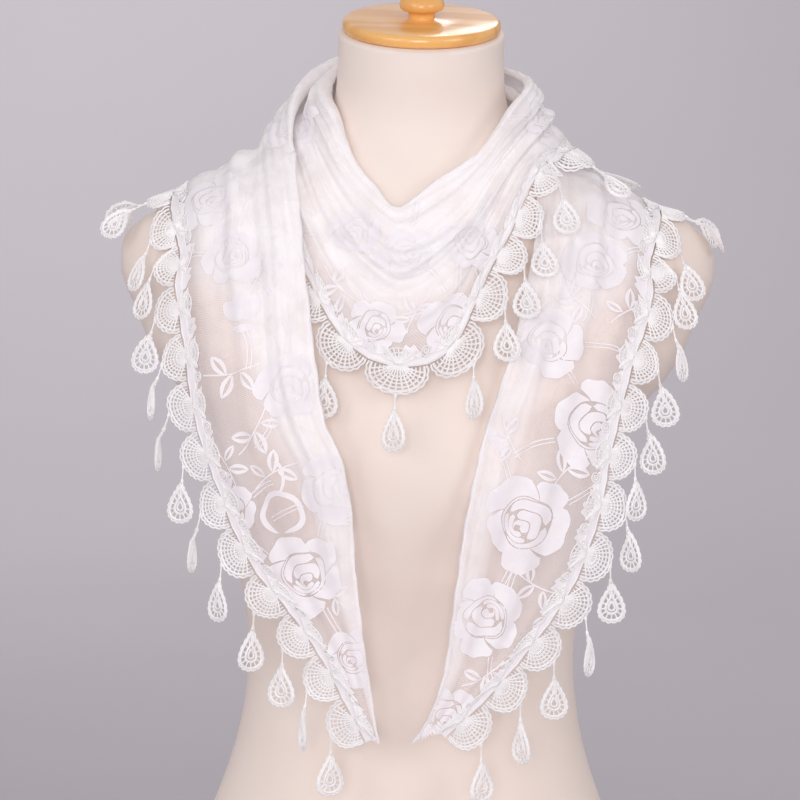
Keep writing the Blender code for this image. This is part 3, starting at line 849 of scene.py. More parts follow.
def mix_net():
    paint = Paint("shawl_net", 0.8, sheen_weight=0.25, sheen_roughness=0.5, specular_ior_level=0.2)
    place = paint.place()
    u, v, _ = paint.split(paint.node("UVMap", {}, uv_map="cut"))
    gather = paint.node("Attribute", {}, 2, attribute_name="gather")
    left = (u * SLANT[0] + v * SLANT[1]).wave(NET_CELL)
    right = (u * SLANT[0] - v * SLANT[1]).wave(NET_CELL)
    thread = 1 - paint.ramp(left.below(right), NET_THREAD * 0.5, NET_THREAD)
    haze = paint.ramp(paint.cloud(place, 26.0, 3.0), 0.4, 0.75)
    sheer = 0.25 + thread * 0.22 + haze * 0.10
    strands = paint.cloud(paint.join(u * 22.0, v * 420.0), 1.0, 3.0)
    flowers = paint.ramp(paint.cloud(place, 52.0, 1.0), 0.50, 0.53)
    more = paint.ramp(paint.cloud(place, 95.0, 1.0), 0.52, 0.55)
    layers = flowers * 0.6 + more * 0.4
    dense = (gather * (0.82 + 0.25 * strands + 0.16 * layers)).below(1.0)
    paint.give("Base Color", paint.mix(gather, *NET_WHITES))
    paint.give("Alpha", sheer + (0.98 - sheer) * dense)
    paint.bump((strands * 0.5 + layers * 0.5) * gather + thread * 0.06, 0.5, 0.0014)
    return paint.material


net = mix_net()


def mark_net(piece, flat, gather):
    """Keeps each point's place on the flat cut, and its gather, for the net's material."""
    mesh = piece.data
    corners = np.zeros(len(mesh.loops), np.int32)
    mesh.loops.foreach_get("vertex_index", corners)
    cut = mesh.uv_layers.new(name="cut")
    cut.data.foreach_set("uv", flat[corners].reshape(-1).astype(np.float32))
    shade = mesh.attributes.new("gather", "FLOAT", "POINT")
    shade.data.foreach_set("value", np.array(gather, np.float32))


def make_net_sheet():
    rows, columns = grid.shape[:2]
    faces = loft_faces(rows, columns, closed=False)
    points = grid.reshape(-1, 3)
    sheet = make_piece("shawl_net_sheet", points, faces, net, NEVER_SHARP)
    down = runs(grid, 1)
    along = runs(grid[:, columns // 2])
    mark_net(sheet, np.stack((np.repeat(along, columns), down.reshape(-1)), axis=1), gathers)
    return sheet, along[-1], down[:, -1]


net_sheet, run_length, run_widths = make_net_sheet()
net_sheet.visible_shadow = False    # light scatters through net, so it barely shades the form
print("net: run", round(run_length, 3), "m, widest", round(run_widths.max(), 3), "m")

# %% [markdown]
# The trim is guipure: lace of cords with no net behind it. It is one band along both short edges,
# with pairs of leaves, a row of fans, and a drop under each fan. To lay it, the cloth's edge is
# widened into a skirt: some columns run back over the cloth, and the last one reaches out to the
# fans' tips and rests on the surface below, as in the plain solid.

# %% The skirt that carries the trim
TRIM_BAND = 13
FAN_DEPTH = 9
TRIM_LIFT = 1.5
FAN_REACH = TRIM_BAND + FAN_DEPTH
INWARD = (-20, -16, -12, -9, -6, -3, 0)


def walk_in(points, reach):
    """A point this far in from the trimmed edge of a section."""
    return points_at(-reach * MM, runs(points[::-1]), points[::-1])


def make_skirt():
    edge = grid[:, -1]
    run = unit(np.gradient(edge, axis=0))
    outward = unit(np.cross(run, cloth_ways[:, -1]))
    inward = grid[:, -3] - edge
    outward = np.where(np.sum(outward * inward, axis=1, keepdims=True) > 0, -outward, outward)
    skirt = []
    ways = []
    for index, place in enumerate(section_places):
        height = smooth_between(winding, place)[8] + HALF_WALL
        row = [walk_in(grid[index], reach) for reach in INWARD]
        tip = Vector(edge[index] + outward[index] * FAN_REACH * MM)
        tip += drape.rest(tip, height, TRIM_LIFT)
        row.append(np.array(tip))
        skirt.append(row)
        ways.append([cloth_ways[index, -2]] * len(row))
    return np.array(skirt), np.array(ways), outward


skirt, skirt_ways, edge_outward = make_skirt()
REACHES = INWARD + (FAN_REACH,)
print("skirt:", skirt.shape)


def on_trim(places, reaches, lift=0.0):
    """Points and ways out on the skirt, for arrays of places in the winding and of reaches."""
    index = index_at(places)
    column = np.interp(reaches, REACHES, np.arange(len(REACHES)))
    i = np.minimum(index.astype(int), len(skirt) - 2)
    j = np.minimum(column.astype(int), len(REACHES) - 2)
    f = (index - i)[:, None]
    g = (column - j)[:, None]
    results = []
    for table in (skirt, skirt_ways):
        near = table[i, j] * (1 - f) + table[i + 1, j] * f
        far = table[i, j + 1] * (1 - f) + table[i + 1, j + 1] * f
        results.append(near * (1 - g) + far * g)
    ways = unit(results[1])
    return results[0] + ways * lift * MM, ways


# %% [markdown]
# A cord is a thin tube along a line of points. A leaf or a petal is a patch: a small grid between
# two edges. Both are collected in one basket for each stretch and joined into one mesh, because
# thousands of separate objects would be slow to render and to handle.

# %% A basket for cords and patches
class Basket:
    """Cords and patches that become one piece."""

    def __init__(self):
        self.points = []
        self.faces = []
        self.count = 0

    def add(self, points, faces):
        self.points.append(points)
        self.faces += [tuple(corner + self.count for corner in face) for face in faces]
        self.count += len(points)

    def cord(self, line, ways, thick):
        """A four-sided tube along a line, its radius in millimetres."""
        run = unit(np.gradient(line, axis=0))
        side = unit(np.cross(ways, run)) * thick * MM
        rise = unit(np.cross(run, side)) * thick * MM
        rings = np.stack((line + side, line + rise, line - side, line - rise), axis=1)
        self.add(rings.reshape(-1, 3), capped_faces(len(line), 4))

    def patch(self, sheet):
        """A grid of points as a small sheet."""
        self.add(sheet.reshape(-1, 3), loft_faces(len(sheet), sheet.shape[1], closed=False))

    def piece(self, name, material):
        points = np.concatenate(self.points)
        return make_piece(name, points, self.faces, material, CORD_SHARP)


# %% [markdown]
# The cords are shiny white cotton. A fine twist shows as slanting ridges, so a wave along the
# cord's own space lifts the normal a little, and the colour varies slightly from cord to cord.

# %% The cord yarn
YARN_WHITES = (0.90, 0.87, 0.87), (0.95, 0.925, 0.925)


def mix_yarn():
    paint = Paint("trim_yarn", 0.55, sheen_weight=0.2, specular_ior_level=0.4)
    place = paint.place()
    x, y, z = paint.split(place)
    twist = (x + y * 0.6 + z * 1.2).wave(0.0007)
    paint.give("Base Color", paint.mix(paint.ramp(paint.cloud(place, 60.0), 0.3, 0.7), *YARN_WHITES))
    paint.bump(twist, 0.25, 0.0003)
    return paint.material


yarn = mix_yarn()
print("made", yarn.name)

# %% [markdown]
# One drop is a teardrop wheel: a rim with tiny loops, spokes, and a small teardrop inside, on a
# knotted thread. It hangs down from its fan's tip, and it slides along the surface where that
# isn't steep. Each one is turned by its own angle, as the real ones twist on their threads.

# %% Drops
DROP_STEPS = (3, 11, 17, 25, 32, 37)    # how far down the hanging line is laid, in mm
DROP_TURNS = (10, -25, 35, 60, -10, 75, 20, -45, 5, 65, -30, 15)
DROP_CLEAR = 3.4        # height of a drop above what it hangs over
DROP_LIFT = 0.5         # room above that for a drop that lies flat
STEEP_ENOUGH = 0.35     # where the surface falls less than this, a drop slides outward
DROP_HALF = 8           # half the width that has to stay clear
TURNING_STEPS = 3       # steps in which a drop takes its own angle
DROP_TOP = 11           # length of the thread
DROP_LENGTH = 27
DROP_SWELL = 12.4       # half its width, before the point narrows it
DROP_MIDDLE = 0.62      # how far down its middle is, as a share of the length
DROP_DRAW = 0.12        # how far the smaller outlines sink towards the round end
# scale, points, swing and number of loops on the rim, radius of the cord in mm
DROP_RIMS = (
    (0.97, 80, 0.09, 20, 0.55),
    (0.88, 32, 0.0, 0, 1.0),
    (0.45, 22, 0.0, 0, 0.85),
    (0.24, 12, 0.0, 0, 0.7),
)
DROP_SPOKES = 16
SPOKE_ENDS = (0.45, 0.84)


def slide(way, out):
    return way - out * min(way.dot(out), 0.0)


def hang_drop(root, flat, normal, outward, turn, height, lies_flat):
    """The middle line of a hanging drop, with its sideways and outward ways at each step."""
    lines = [[root], [flat], [normal]]
    hang = root
    before = 0
    most = DROP_LIFT if lies_flat else None
    for index, down in enumerate(DROP_STEPS):
        turned = min(1.0, (index + 1) / TURNING_STEPS)
        clear = height + DROP_CLEAR * turned
        _, out = drape.settle(hang)
        fall = slide(Vector((0, 0, -1)), out)
        if fall.length < STEEP_ENOUGH:
            fall = slide(outward, out)
        hang = hang + fall.normalized() * (down - before) * MM
        hang = hang + drape.rest(hang, clear, most)
        before = down
        _, out = drape.settle(hang)
        level = fall.cross(out).normalized()
        if level.dot(flat) < 0:
            level = -level
        face = level.cross(fall).normalized()
        if face.dot(out) < 0:
            face = -face
        angle = math.radians(0 if lies_flat else turn) * turned
        spin = Matrix.Rotation(angle, 3, fall.normalized())
        side = spin @ flat.lerp(level, turned).normalized()
        way = spin @ normal.lerp(face, turned).normalized()
        moves = [drape.rest(hang + side * end * MM, clear, most) for end in (-DROP_HALF, DROP_HALF)]
        hang = hang + max(moves, key=lambda move: move.length) * min(1.0, index / 2)
        for line, value in zip(lines, (hang, side, way)):
            line.append(value)
    return [np.array([tuple(value) for value in line]) for line in lines]


def teardrop(scale, count, swing=0.0, loops=0):
    """A closed teardrop outline, about its own middle, with loops along its rim."""
    turn = np.linspace(0, 2 * math.pi, count + 1)
    swell = scale * (1 + swing * np.abs(np.sin(loops * turn / 2)))
    x = DROP_SWELL * np.sin(turn) * np.abs(np.sin(turn / 2)) ** 1.5 * swell
    y = -DROP_LENGTH / 2 * np.cos(turn) * swell
    return np.stack((x, y + DROP_MIDDLE * DROP_LENGTH - DROP_DRAW * DROP_LENGTH * swell), axis=1)


def add_drop(basket, frame_lines):
    centres, sides, ways = frame_lines
    steps = np.concatenate(([0.0], DROP_STEPS))

    def lay(shape, thick, lift=0.7):
        down = np.clip(shape[:, 1], 0, DROP_STEPS[-1])
        below = (shape[:, 1] - down)[:, None]
        rows = [points_at(down, steps, table) for table in (centres, sides, ways)]
        fall = unit(centres[-1] - centres[-2])
        line = rows[0] + unit(rows[1]) * shape[:, :1] * MM + fall * below * MM
        basket.cord(line + unit(rows[2]) * lift * MM, unit(rows[2]), thick)

    thread = np.stack((np.zeros(7), np.linspace(0, DROP_TOP + 1, 7)), axis=1)
    lay(thread, 0.55)
    for knot in (1.6, DROP_TOP):
        lay(np.array(((0, knot - 1.2), (0, knot), (0, knot + 1.2))), 1.15)
    top = np.array((0, DROP_TOP))
    for scale, count, swing, loops, thick in DROP_RIMS:
        lay(teardrop(scale, count, swing, loops) + top, thick)
    inner, outer = [teardrop(scale, DROP_SPOKES) + top for scale in SPOKE_ENDS]
    for start, end in zip(inner[1:-1], outer[1:-1]):
        lay(np.stack((start, end)), 0.5)


# %% [markdown]
# A fan has ribs that spread from its foot to a scalloped rim, crossed by four bows. Beside it
# the band holds a smaller fan that spreads inward, a pair of leaves, a ring and two waved cords.
# The fans are counted out on each stretch as in the plain solid, so every drop hangs where its
# solid hangs.

# %% Fans and band
FAN_PITCH = 34
FAN_FOOT = 4.0          # reach of the ribs' foot
RIM_DEPTH = FAN_REACH - FAN_FOOT
RUFFLE = 2.0            # how far a fan's sides stand out of the flat, in mm
# share of the fan, points, swing and number of loops on the rim, radius of the cord in mm
FAN_RIMS = (
    (0.97, 45, 0.055, 11, 0.70),
    (0.90, 22, 0.0, 0, 0.85),
    (0.76, 18, 0.0, 0, 0.52),
    (0.62, 16, 0.0, 0, 0.52),
    (0.49, 14, 0.0, 0, 0.52),
    (0.36, 12, 0.0, 0, 0.60),
)
FAN_RIBS = 13
RIB_FEET = 0.18         # spread of the ribs' feet, as a share of the rim's
INNER_RIBS = 9
INNER_BOWS = (4.5, 7.5, 10.5)
RING_RADII = (1.5, 3.2)
RING_REACH = -5
EDGE_CORDS = ((-1.0, 0.8), (3.4, 0.6))      # reach, depth of the waves
LEAF_SLOPES = ((-1, 0.9), (1, 0.7))         # side, angle to the band
LEAF_LENGTH = 13.5
LEAF_WIDTHS = (5.6, 4.9, 4.2)               # from one fan to the next
LEAF_ROWS = 5
LEAF_POINTS = 9
# name, wall it runs along, first place, last place, share of covered drops
STRETCHES = (
    ("front_bib", "front_bib", MIDDLE - 4, MIDDLE + 4, 0.4),
    ("right_neck", "right_neck_wrap", MIDDLE + 4, MIDDLE + 7, 1),
    ("back_outer", "back_outer_wrap", MIDDLE + 7, MIDDLE + 11, 0.35),
    ("left_shoulder", "left_shoulder_drape", MIDDLE + 11, MIDDLE + 14, 0),
    ("left_end", "left_end", MIDDLE + 14, MIDDLE + 26, 0),
    ("left_neck", "left_neck_wrap", MIDDLE - 4, MIDDLE - 7, 1),
    ("back_inner", "back_inner_wrap", MIDDLE - 7, MIDDLE - 11, 1),
    ("right_shoulder", "right_shoulder_drape", MIDDLE - 11, MIDDLE - 14, 0),
    ("right_end", "right_end", MIDDLE - 14, MIDDLE - 26, 0),
)


def fan_rim(share, count, swing=0.0, loops=0):
    """Points along a fan's rim: share of the fan's width, and reach."""
    turn = np.linspace(0.02, math.pi - 0.02, count)
    swell = share * (1 + swing * np.abs(np.sin(loops * turn)))
    t = 0.5 - 0.47 * np.cos(turn) * swell
    reach = FAN_FOOT + RIM_DEPTH * np.sin(turn) ** 0.8 * swell
    return np.stack((t, reach), axis=1)


def add_fan(basket, start, end, order):
    """One fan with its piece of band, between two places of the winding."""
    ruffle = RUFFLE * math.sin(1.7 * order + 0.5)

    def on_skirt(shape, lift):
        return on_trim(start + (end - start) * shape[:, 0], shape[:, 1], lift)

    def lay(shape, thick, lift=0.5):
        outer = np.clip(shape[:, 1:] / FAN_REACH, 0, 1)
        tilt = ruffle * outer * np.sin(2 * math.pi * (shape[:, :1] - 0.5))
        basket.cord(*on_skirt(shape, lift + tilt), thick)

    def bow(radius, turn, middle=(0.0, 0.0)):
        """Points of a bow or ring round a middle, its radius in mm."""
        way = np.stack((np.sin(turn) / FAN_PITCH, -np.cos(turn)), axis=1)
        return middle + radius * way

    for share, count, swing, loops, thick in FAN_RIMS:
        lay(fan_rim(share, count, swing, loops), thick)
    for tip in fan_rim(0.92, FAN_RIBS + 2)[1:-1]:
        foot = np.array((0.5 + (tip[0] - 0.5) * RIB_FEET, FAN_FOOT - 1))
        lay(np.linspace(foot, tip, 4), 0.60)
    heart = np.array((0.5, FAN_FOOT - 2))
    for tip in bow(INNER_BOWS[-1], np.linspace(-1.25, 1.25, INNER_RIBS), heart):
        lay(np.linspace(heart, tip, 3), 0.5, 0.9)
    for radius in INNER_BOWS:
        lay(bow(radius, np.linspace(-1.3, 1.3, 13), heart), 0.5, 0.9)
    if order:
        turn = np.linspace(0, 2 * math.pi, 11) + math.pi / 2
        for radius in RING_RADII:
            lay(bow(radius, turn, (0.0, RING_REACH)), 0.55, 0.9)
    x = np.linspace(0, 1, 13)
    for reach, depth in EDGE_CORDS:
        lay(np.stack((x, reach - depth * np.abs(np.sin(2 * math.pi * x))), axis=1), 0.6)
    x = np.linspace(0, 1, LEAF_POINTS)
    spread = np.linspace(-1, 1, LEAF_ROWS)[:, None]
    off = spread * LEAF_WIDTHS[order % 3] / 2 * np.sin(math.pi * x) ** 0.8
    arch = 0.72 + 0.4 * (1 - spread ** 2) * np.sin(math.pi * x)
    for side, slope in LEAF_SLOPES:
        rib_x = 0.5 + side * (1.0 + x * LEAF_LENGTH * math.cos(slope)) / FAN_PITCH
        rib_reach = 2.5 - x * LEAF_LENGTH * math.sin(slope)
        sheet_x = rib_x + off * math.sin(slope) * side / FAN_PITCH
        sheet = np.stack((sheet_x, rib_reach + off * math.cos(slope)), axis=2)
        laid, _ = on_skirt(sheet.reshape(-1, 2), arch.reshape(-1, 1))
        basket.patch(laid.reshape(LEAF_ROWS, LEAF_POINTS, 3))
        lay(np.stack((rib_x, rib_reach), axis=1), 0.45, 1.5)


def add_fan_drop(basket, start, end, turn, lies_flat):
    places = start + (end - start) * np.array((0.47, 0.5, 0.53))
    tips, ways = on_trim(places, np.full(3, FAN_REACH - 0.3))
    middle = (start + end) / 2
    flat = Vector(unit(tips[2] - tips[0]))
    height = smooth_between(winding, middle)[8]
    outward = Vector(edge_outward[int(round(index_at(middle)))])
    root, normal = Vector(tips[1]), Vector(ways[1])
    add_drop(basket, hang_drop(root, flat, normal, outward, turn, height, lies_flat))


def make_trims():
    pieces = []
    turns = {}
    for name, _, first, last, covered in STRETCHES:
        fans = max(1, round(marks_between(first, last)[1][-1] / FAN_PITCH))
        bounds = even_places(first, last, fans)
        side = "throat" if name == "front_bib" else ("outer" if last > first else "inner")
        turn = turns.get(side, turns.get("throat", 0))
        basket = Basket()
        for fan, (start, end) in enumerate(zip(bounds, bounds[1:])):
            add_fan(basket, start, end, fan)
            angle = DROP_TURNS[(turn + fan) % len(DROP_TURNS)]
            add_fan_drop(basket, start, end, angle, fan + 0.5 < covered * fans)
        turns[side] = turn + fans
        piece = basket.piece(name + "_guipure", yarn)
        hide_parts(name + "_trim")
        pieces.append(piece)
    return pieces


trims = make_trims()
print("trims:", len(trims))

# %% [markdown]
# The roses and leaves are dense clothwork in the net, split by thin lines of open net. They are
# patches laid on the cloth from outside: each point is dropped along the way into the cloth until
# it meets it, so the flowers follow the folds. The petals are general ones, made by formula.

# %% Clothwork
PETAL_LIFT = 0.45       # height of the clothwork above the net, in mm
LAY_FROM = 0.03         # how far out a point starts, in metres
STRETCH_LIMIT = 2.2     # a face whose side is stretched more than this leads over a step
STRETCH_ROOM = 1.2      # room for the steps of the folds, in mm
CLOTH_WHITES = (0.93, 0.875, 0.91), (0.97, 0.935, 0.96)


def mix_clothwork():
    paint = Paint("shawl_clothwork", 0.7, sheen_weight=0.3, specular_ior_level=0.25)
    place = paint.place()
    x, _, z = paint.split(place)
    weft = (z + x * 0.25).wave(0.0009)
    cloud = paint.cloud(place, 70.0)
    paint.give("Base Color", paint.mix(paint.ramp(cloud, 0.35, 0.7), *CLOTH_WHITES))
    paint.give("Alpha", 0.86 + 0.1 * weft)
    paint.bump(weft + cloud, 0.2, 0.0004)
    return paint.material


clothwork = mix_clothwork()
cloth_tree = BVHTree.FromPolygons(
    [Vector(point) for point in grid.reshape(-1, 3)],
    loft_faces(grid.shape[0], grid.shape[1], closed=False))
print("made", clothwork.name)


class Motif:
    """A flat place on the cloth that patches are drawn on, in millimetres."""

    def __init__(self, basket, centre, out, turn, size):
        self.basket = basket
        self.centre = centre
        self.out = out
        self.size = size
        across = Vector((0, 0, 1)).cross(out)
        if across.length < 0.1:
            across = Vector((1, 0, 0))
        spin = Matrix.Rotation(math.radians(turn), 3, out)
        self.right = spin @ across.normalized()
        self.up = spin @ out.cross(across.normalized()).normalized()

    def drop(self, x, y):
        start = self.centre + (self.right * x + self.up * y) * MM + self.out * LAY_FROM
        place, way, _, _ = cloth_tree.ray_cast(start, -self.out, 2 * LAY_FROM)
        if place is None:
            return None
        if way.dot(self.out) < 0:
            way = -way
        return place + way * PETAL_LIFT * MM

    def patch(self, sheet):
        """Lays a grid of flat points, and leaves out what runs off the cloth or over a step."""
        flat = sheet.reshape(-1, 2)
        laid = [self.drop(x, y) for x, y in flat]
        faces = []
        for face in loft_faces(*sheet.shape[:2], closed=False):
            if any(laid[corner] is None for corner in face):
                continue
            sides = zip(face, face[1:] + face[:1])
            if all((laid[a] - laid[b]).length <= MM * (
                    STRETCH_LIMIT * math.dist(flat[a], flat[b]) + STRETCH_ROOM) for a, b in sides):
                faces.append(face)
        used = sorted(set(corner for face in faces for corner in face))
        if used:
            order = {corner: index for index, corner in enumerate(used)}
            points = np.array([tuple(laid[corner]) for corner in used])
            self.basket.add(points, [tuple(order[corner] for corner in face) for face in faces])

    def spread(self, run, off, turn, foot=(0.0, 0.0)):
        """A patch given by how far its points are along a way and how far to the way's left."""
        x = foot[0] + run * math.cos(turn) - off * math.sin(turn)
        y = foot[1] + run * math.sin(turn) + off * math.cos(turn)
        self.patch(np.stack((x, y), axis=2))


# %% [markdown]
# A rose is built from rings. The outer petals are wide lobes with a notch between them. Inside
# them crescents wind round a small open heart. Each ring is cut from the next by a thin gap, where
# the net shows as a line.

# %% Roses, buds, leaves and stems
PETAL_SLIT = 0.24       # half the slit between two petals, in mm
BUD_RADIUS = 0.52       # share of the rose's radius
BUD_WIND = 0.17         # how much the bud's spiral draws in with each turn
BUD_SLIT = 0.5
BUD_ASIDE = 0.42        # how far the bud's rings move aside as they draw in
BUD_HEART = 0.06        # radius of the open heart, as a share of the rose's
PETAL_SWIRL = 16        # degrees by which a petal turns from its foot to its rim
# angles where each petal of the bud starts and ends, on the spiral
BUD_WRAPS = ((60, 210), (213, 348), (352, 500), (505, 640), (648, 830), (838, 1010), (1018, 1290))


def wound(size, radius, angle):
    """A point of a rose. Its rings are a little wavy, and the bud sits to one side."""
    radius = radius * (1 + 0.045 * np.sin(3 * angle + size) + 0.03 * np.sin(5 * angle - size))
    aside = BUD_ASIDE * np.maximum(0.0, BUD_RADIUS * size - radius)
    x = radius * np.cos(angle) - aside
    y = radius * np.sin(angle) - 0.6 * aside
    return np.stack((x, y), axis=2)


def petal(motif, start, end, foot, reach, order):
    """A broad outer petal: a slit on each side, a notch at its corners and a rippled rim."""
    t = np.linspace(0, 1, 15)[None, :]
    share = np.linspace(0, 1, 6)[:, None]
    rim = reach * (1 - 0.20 * (1 - np.sin(math.pi * t) ** 0.42))
    rim = rim + 0.022 * reach * np.sin(5 * math.pi * t + 2.1 * order) * np.sin(math.pi * t)
    radius = foot + (rim - foot) * share
    slit = np.degrees(PETAL_SLIT / radius)
    angle = np.radians(start + slit + (end - start - 2 * slit) * t + PETAL_SWIRL * share)
    motif.patch(wound(motif.size, radius, angle))


def band(motif, angles, inner, outer):
    """A curved strip between two radii, pointed at its ends."""
    t = np.linspace(0, 1, len(angles))[None, :]
    share = np.linspace(-0.5, 0.5, 5)[:, None]
    point = np.minimum(1.0, 9.0 * np.minimum(t, 1 - t)) ** 0.6
    radius = (inner + outer) / 2 + (outer - inner) * share * point
    angle = np.radians(angles)[None, :] + 0 * share
    motif.patch(wound(motif.size, radius, angle))


def rose(motif, size, petals=5):
    """A full rose of this radius, its bud wound a little to one side."""
    corners = [360 / petals * i + 11 * math.sin(4.1 * i + size) for i in range(petals)]
    corners.append(corners[0] + 360)
    for order, (start, end) in enumerate(zip(corners, corners[1:])):
        reach = size * (0.95 + 0.09 * math.sin(2.3 * order + size))
        petal(motif, start, end, size * BUD_RADIUS + BUD_SLIT, reach, order)
    for start, end in BUD_WRAPS:
        angles = np.linspace(start, end, int((end - start) / 11))
        outer = size * (BUD_RADIUS - BUD_WIND * np.maximum(angles - 360, 0) / 360)
        inner = size * (BUD_RADIUS - BUD_WIND * angles / 360) + BUD_SLIT
        band(motif, angles, np.clip(inner, BUD_HEART * size, outer), outer)


def bud(motif, size):
    """A half-open flower with three upright petals and a cup."""
    t = np.linspace(0, 1, 10)
    half = 0.30 * size * np.sin(math.pi * np.minimum(t * 0.92 + 0.04, 1)) ** 0.7
    off = np.linspace(-1, 1, 5)[:, None] * half
    for lean_over, reach in ((-38, 0.95), (0, 1.0), (38, 0.95)):
        motif.spread(t * reach * size, off, math.radians(90 + lean_over))
    band(motif, np.linspace(200, 340, 14), 0.08 * size, 0.42 * size)


def leaf(motif, x, y, angle, length, width):
    """A leaf of two halves with an open rib between them."""
    t = np.linspace(0, 1, 10)
    outer = width / 2 * np.sin(math.pi * t) ** 0.75
    inner = width * 0.15 * np.sin(math.pi * np.clip(t * 1.25 - 0.1, 0, 1))
    half = inner + (outer - inner) * np.linspace(0, 1, 4)[:, None]
    for side in (-1, 1):
        motif.spread(t * length, side * half, math.radians(angle), (x, y))


def stem(motif, start, bend, end, thick=0.9):
    """A narrow strip along a curve through three points."""
    t = np.linspace(0, 1, 18)[:, None]
    start, bend, end = np.array((start, bend, end), float)
    line = start * (1 - t) ** 2 + 2 * bend * t * (1 - t) + end * t ** 2
    run = unit(np.gradient(line, axis=0))
    side = np.stack((-run[:, 1], run[:, 0]), axis=1) * thick / 2
    motif.patch(np.stack((line - side, line, line + side), axis=0))


def twin_stem(motif, start, bend, end, apart=2.6):
    """Two thin lines side by side, as lace stems are."""
    places = np.array((start, bend, end), float)
    run = unit(places[2] - places[0])
    side = np.array((-run[1], run[0])) * apart / 2
    for way in (-1, 1):
        stem(motif, *(places + side * way), 0.75)


# %% [markdown]
# The flowers in front are placed by where they show. A ray from the front finds the cloth, and
# the motif faces straight out of it. Sizes and turns differ, as in real lace that is cut to shape.

# %% Flowers in front
# kind, x, z, size, turn
FRONT_FLOWERS = (
    ("rose", 86, 459, 25, 20),
    ("rose", 115, 405, 30, 100),
    ("rose", 73, 342, 32, 0),
    ("rose", 47, 279, 27, 200),
    ("rose", 22, 214, 22, 60),
    ("leaves", 96, 374, 13, 40),
    ("leaves", 79, 300, 12, 150),
    ("leaves", 48, 240, 11, 210),
    ("leaves", 60, 396, 11, 110),
    ("rose", -82, 428, 24, 40),
    ("rose", -53, 362, 24, 150),
    ("rose", -71, 306, 28, 70),
    ("rose", -38, 252, 20, 20),
    ("bud", -114, 470, 20, 15),
    ("loop", -86, 345, 15, 0),
    ("leaves", -120, 434, 14, 190),
    ("leaves", -104, 398, 13, 240),
    ("leaves", -121, 373, 11, 300),
    ("rose", -118, 346, 19, 10),
    ("leaves", -92, 372, 12, 30),
    ("leaves", -53, 292, 10, 330),
    ("rose", 25, 468, 24, 30),
    ("rose", -28, 468, 20, 80),
    ("leaves", -2, 476, 11, 60),
    ("leaves", -52, 492, 12, 130),
    ("leaves", 46, 496, 12, 250),
    ("rose", -8, 514, 20, 140),
    ("rose", 34, 522, 20, 250),
    ("rose", -42, 528, 18, 20),
    ("rose", 118, 512, 24, 50),
    ("leaves", 140, 480, 12, 20),
    ("leaves", 104, 486, 12, 120),
    ("rose", -124, 512, 22, 130),
    ("leaves", -104, 500, 12, 60),
)
# kind, place in the winding, share of the way across, size, turn
ROUND_FLOWERS = (
    ("rose", 13.2, 0.72, 25, 40),
    ("leaves", 14.2, 0.50, 13, 120),
    ("rose", 15.4, 0.70, 27, 200),
    ("rose", 16.6, 0.40, 24, 20),
    ("leaves", 16.4, 0.80, 12, 300),
    ("rose", 17.8, 0.72, 26, 100),
    ("rose", 19.2, 0.55, 22, 50),
    ("rose", 20.6, 0.45, 20, 10),
    ("rose", 31.6, 0.50, 20, 140),
    ("rose", 33.0, 0.60, 23, 240),
    ("leaves", 34.0, 0.35, 12, 80),
    ("rose", 34.6, 0.72, 27, 20),
    ("rose", 35.6, 0.38, 25, 300),
    ("leaves", 35.9, 0.80, 13, 30),
    ("rose", 36.9, 0.70, 27, 160),
    ("leaves", 37.6, 0.42, 12, 200),
    ("rose", 38.8, 0.72, 24, 100),
)


def flower(kind, motif, size):
    if kind == "rose":
        rose(motif, size)
        for turn in (35, 160, 250):
            angle = math.radians(turn + size * 7)
            way = np.array((math.cos(angle), math.sin(angle)))
            twin_stem(motif, way * size * 0.95, way * size * 1.4 + way[::-1] * 4, way * size * 1.9)
    if kind == "bud":
        bud(motif, size)
        twin_stem(motif, (0, -size * 0.4), (3, -size * 1.0), (-2, -size * 1.7))
    if kind == "leaves":
        stem(motif, (-size * 1.4, -size * 0.3), (0, size * 0.2), (size * 1.5, -size * 0.2), 1.0)
        leaf(motif, 0, 0, 60, size * 1.25, size * 0.62)
        leaf(motif, size * 0.3, 0, -55, size * 1.2, size * 0.6)
        leaf(motif, -size * 0.5, 0, 120, size * 1.1, size * 0.5)
    if kind == "loop":
        band(motif, np.linspace(-84, 262, 36), size * 0.76, size)
        stem(motif, (0, size), (4, size * 1.6), (-2, size * 2.2), 2.0)


def make_clothwork():
    basket = Basket()
    for kind, x, z, size, turn in FRONT_FLOWERS:
        start = Vector((x * MM, -1.0, z * MM))
        place = cloth_tree.ray_cast(start, Vector((0, 1, 0)))[0]
        if place is None:
            print("no cloth behind", kind, x, z)
            continue
        _, out = drape.settle(place)
        flower(kind, Motif(basket, place, out, turn, size), size)
    for kind, place, across, size, turn in ROUND_FLOWERS:
        index = int(round(index_at(place)))
        column = int(round(across * ACROSS))
        out = Vector(grid_outs[index, column])
        flower(kind, Motif(basket, Vector(grid[index, column]), out, turn, size), size)
    return basket.piece("rose_clothwork", clothwork)


roses = make_clothwork()

# %% [markdown]
# Beside the trim the net ends in a row of small dense scallops, which hide the seam. They are laid
# on the same skirt as the trim, so they never leave the cloth.

# %% Scallops
SCALLOP_PITCH = 17
RIBBON = (-1.5, 0.8, 3.6)   # reaches of the ribbon that the fans are worked on
SCALLOP_FOOT = 3.2      # how far the scallops reach out under the fans' feet
SCALLOP_DEPTH = 9.5     # how far they reach in, which varies from one to the next
SCALLOP_POINTS = 13
SCALLOP_ROWS = 5


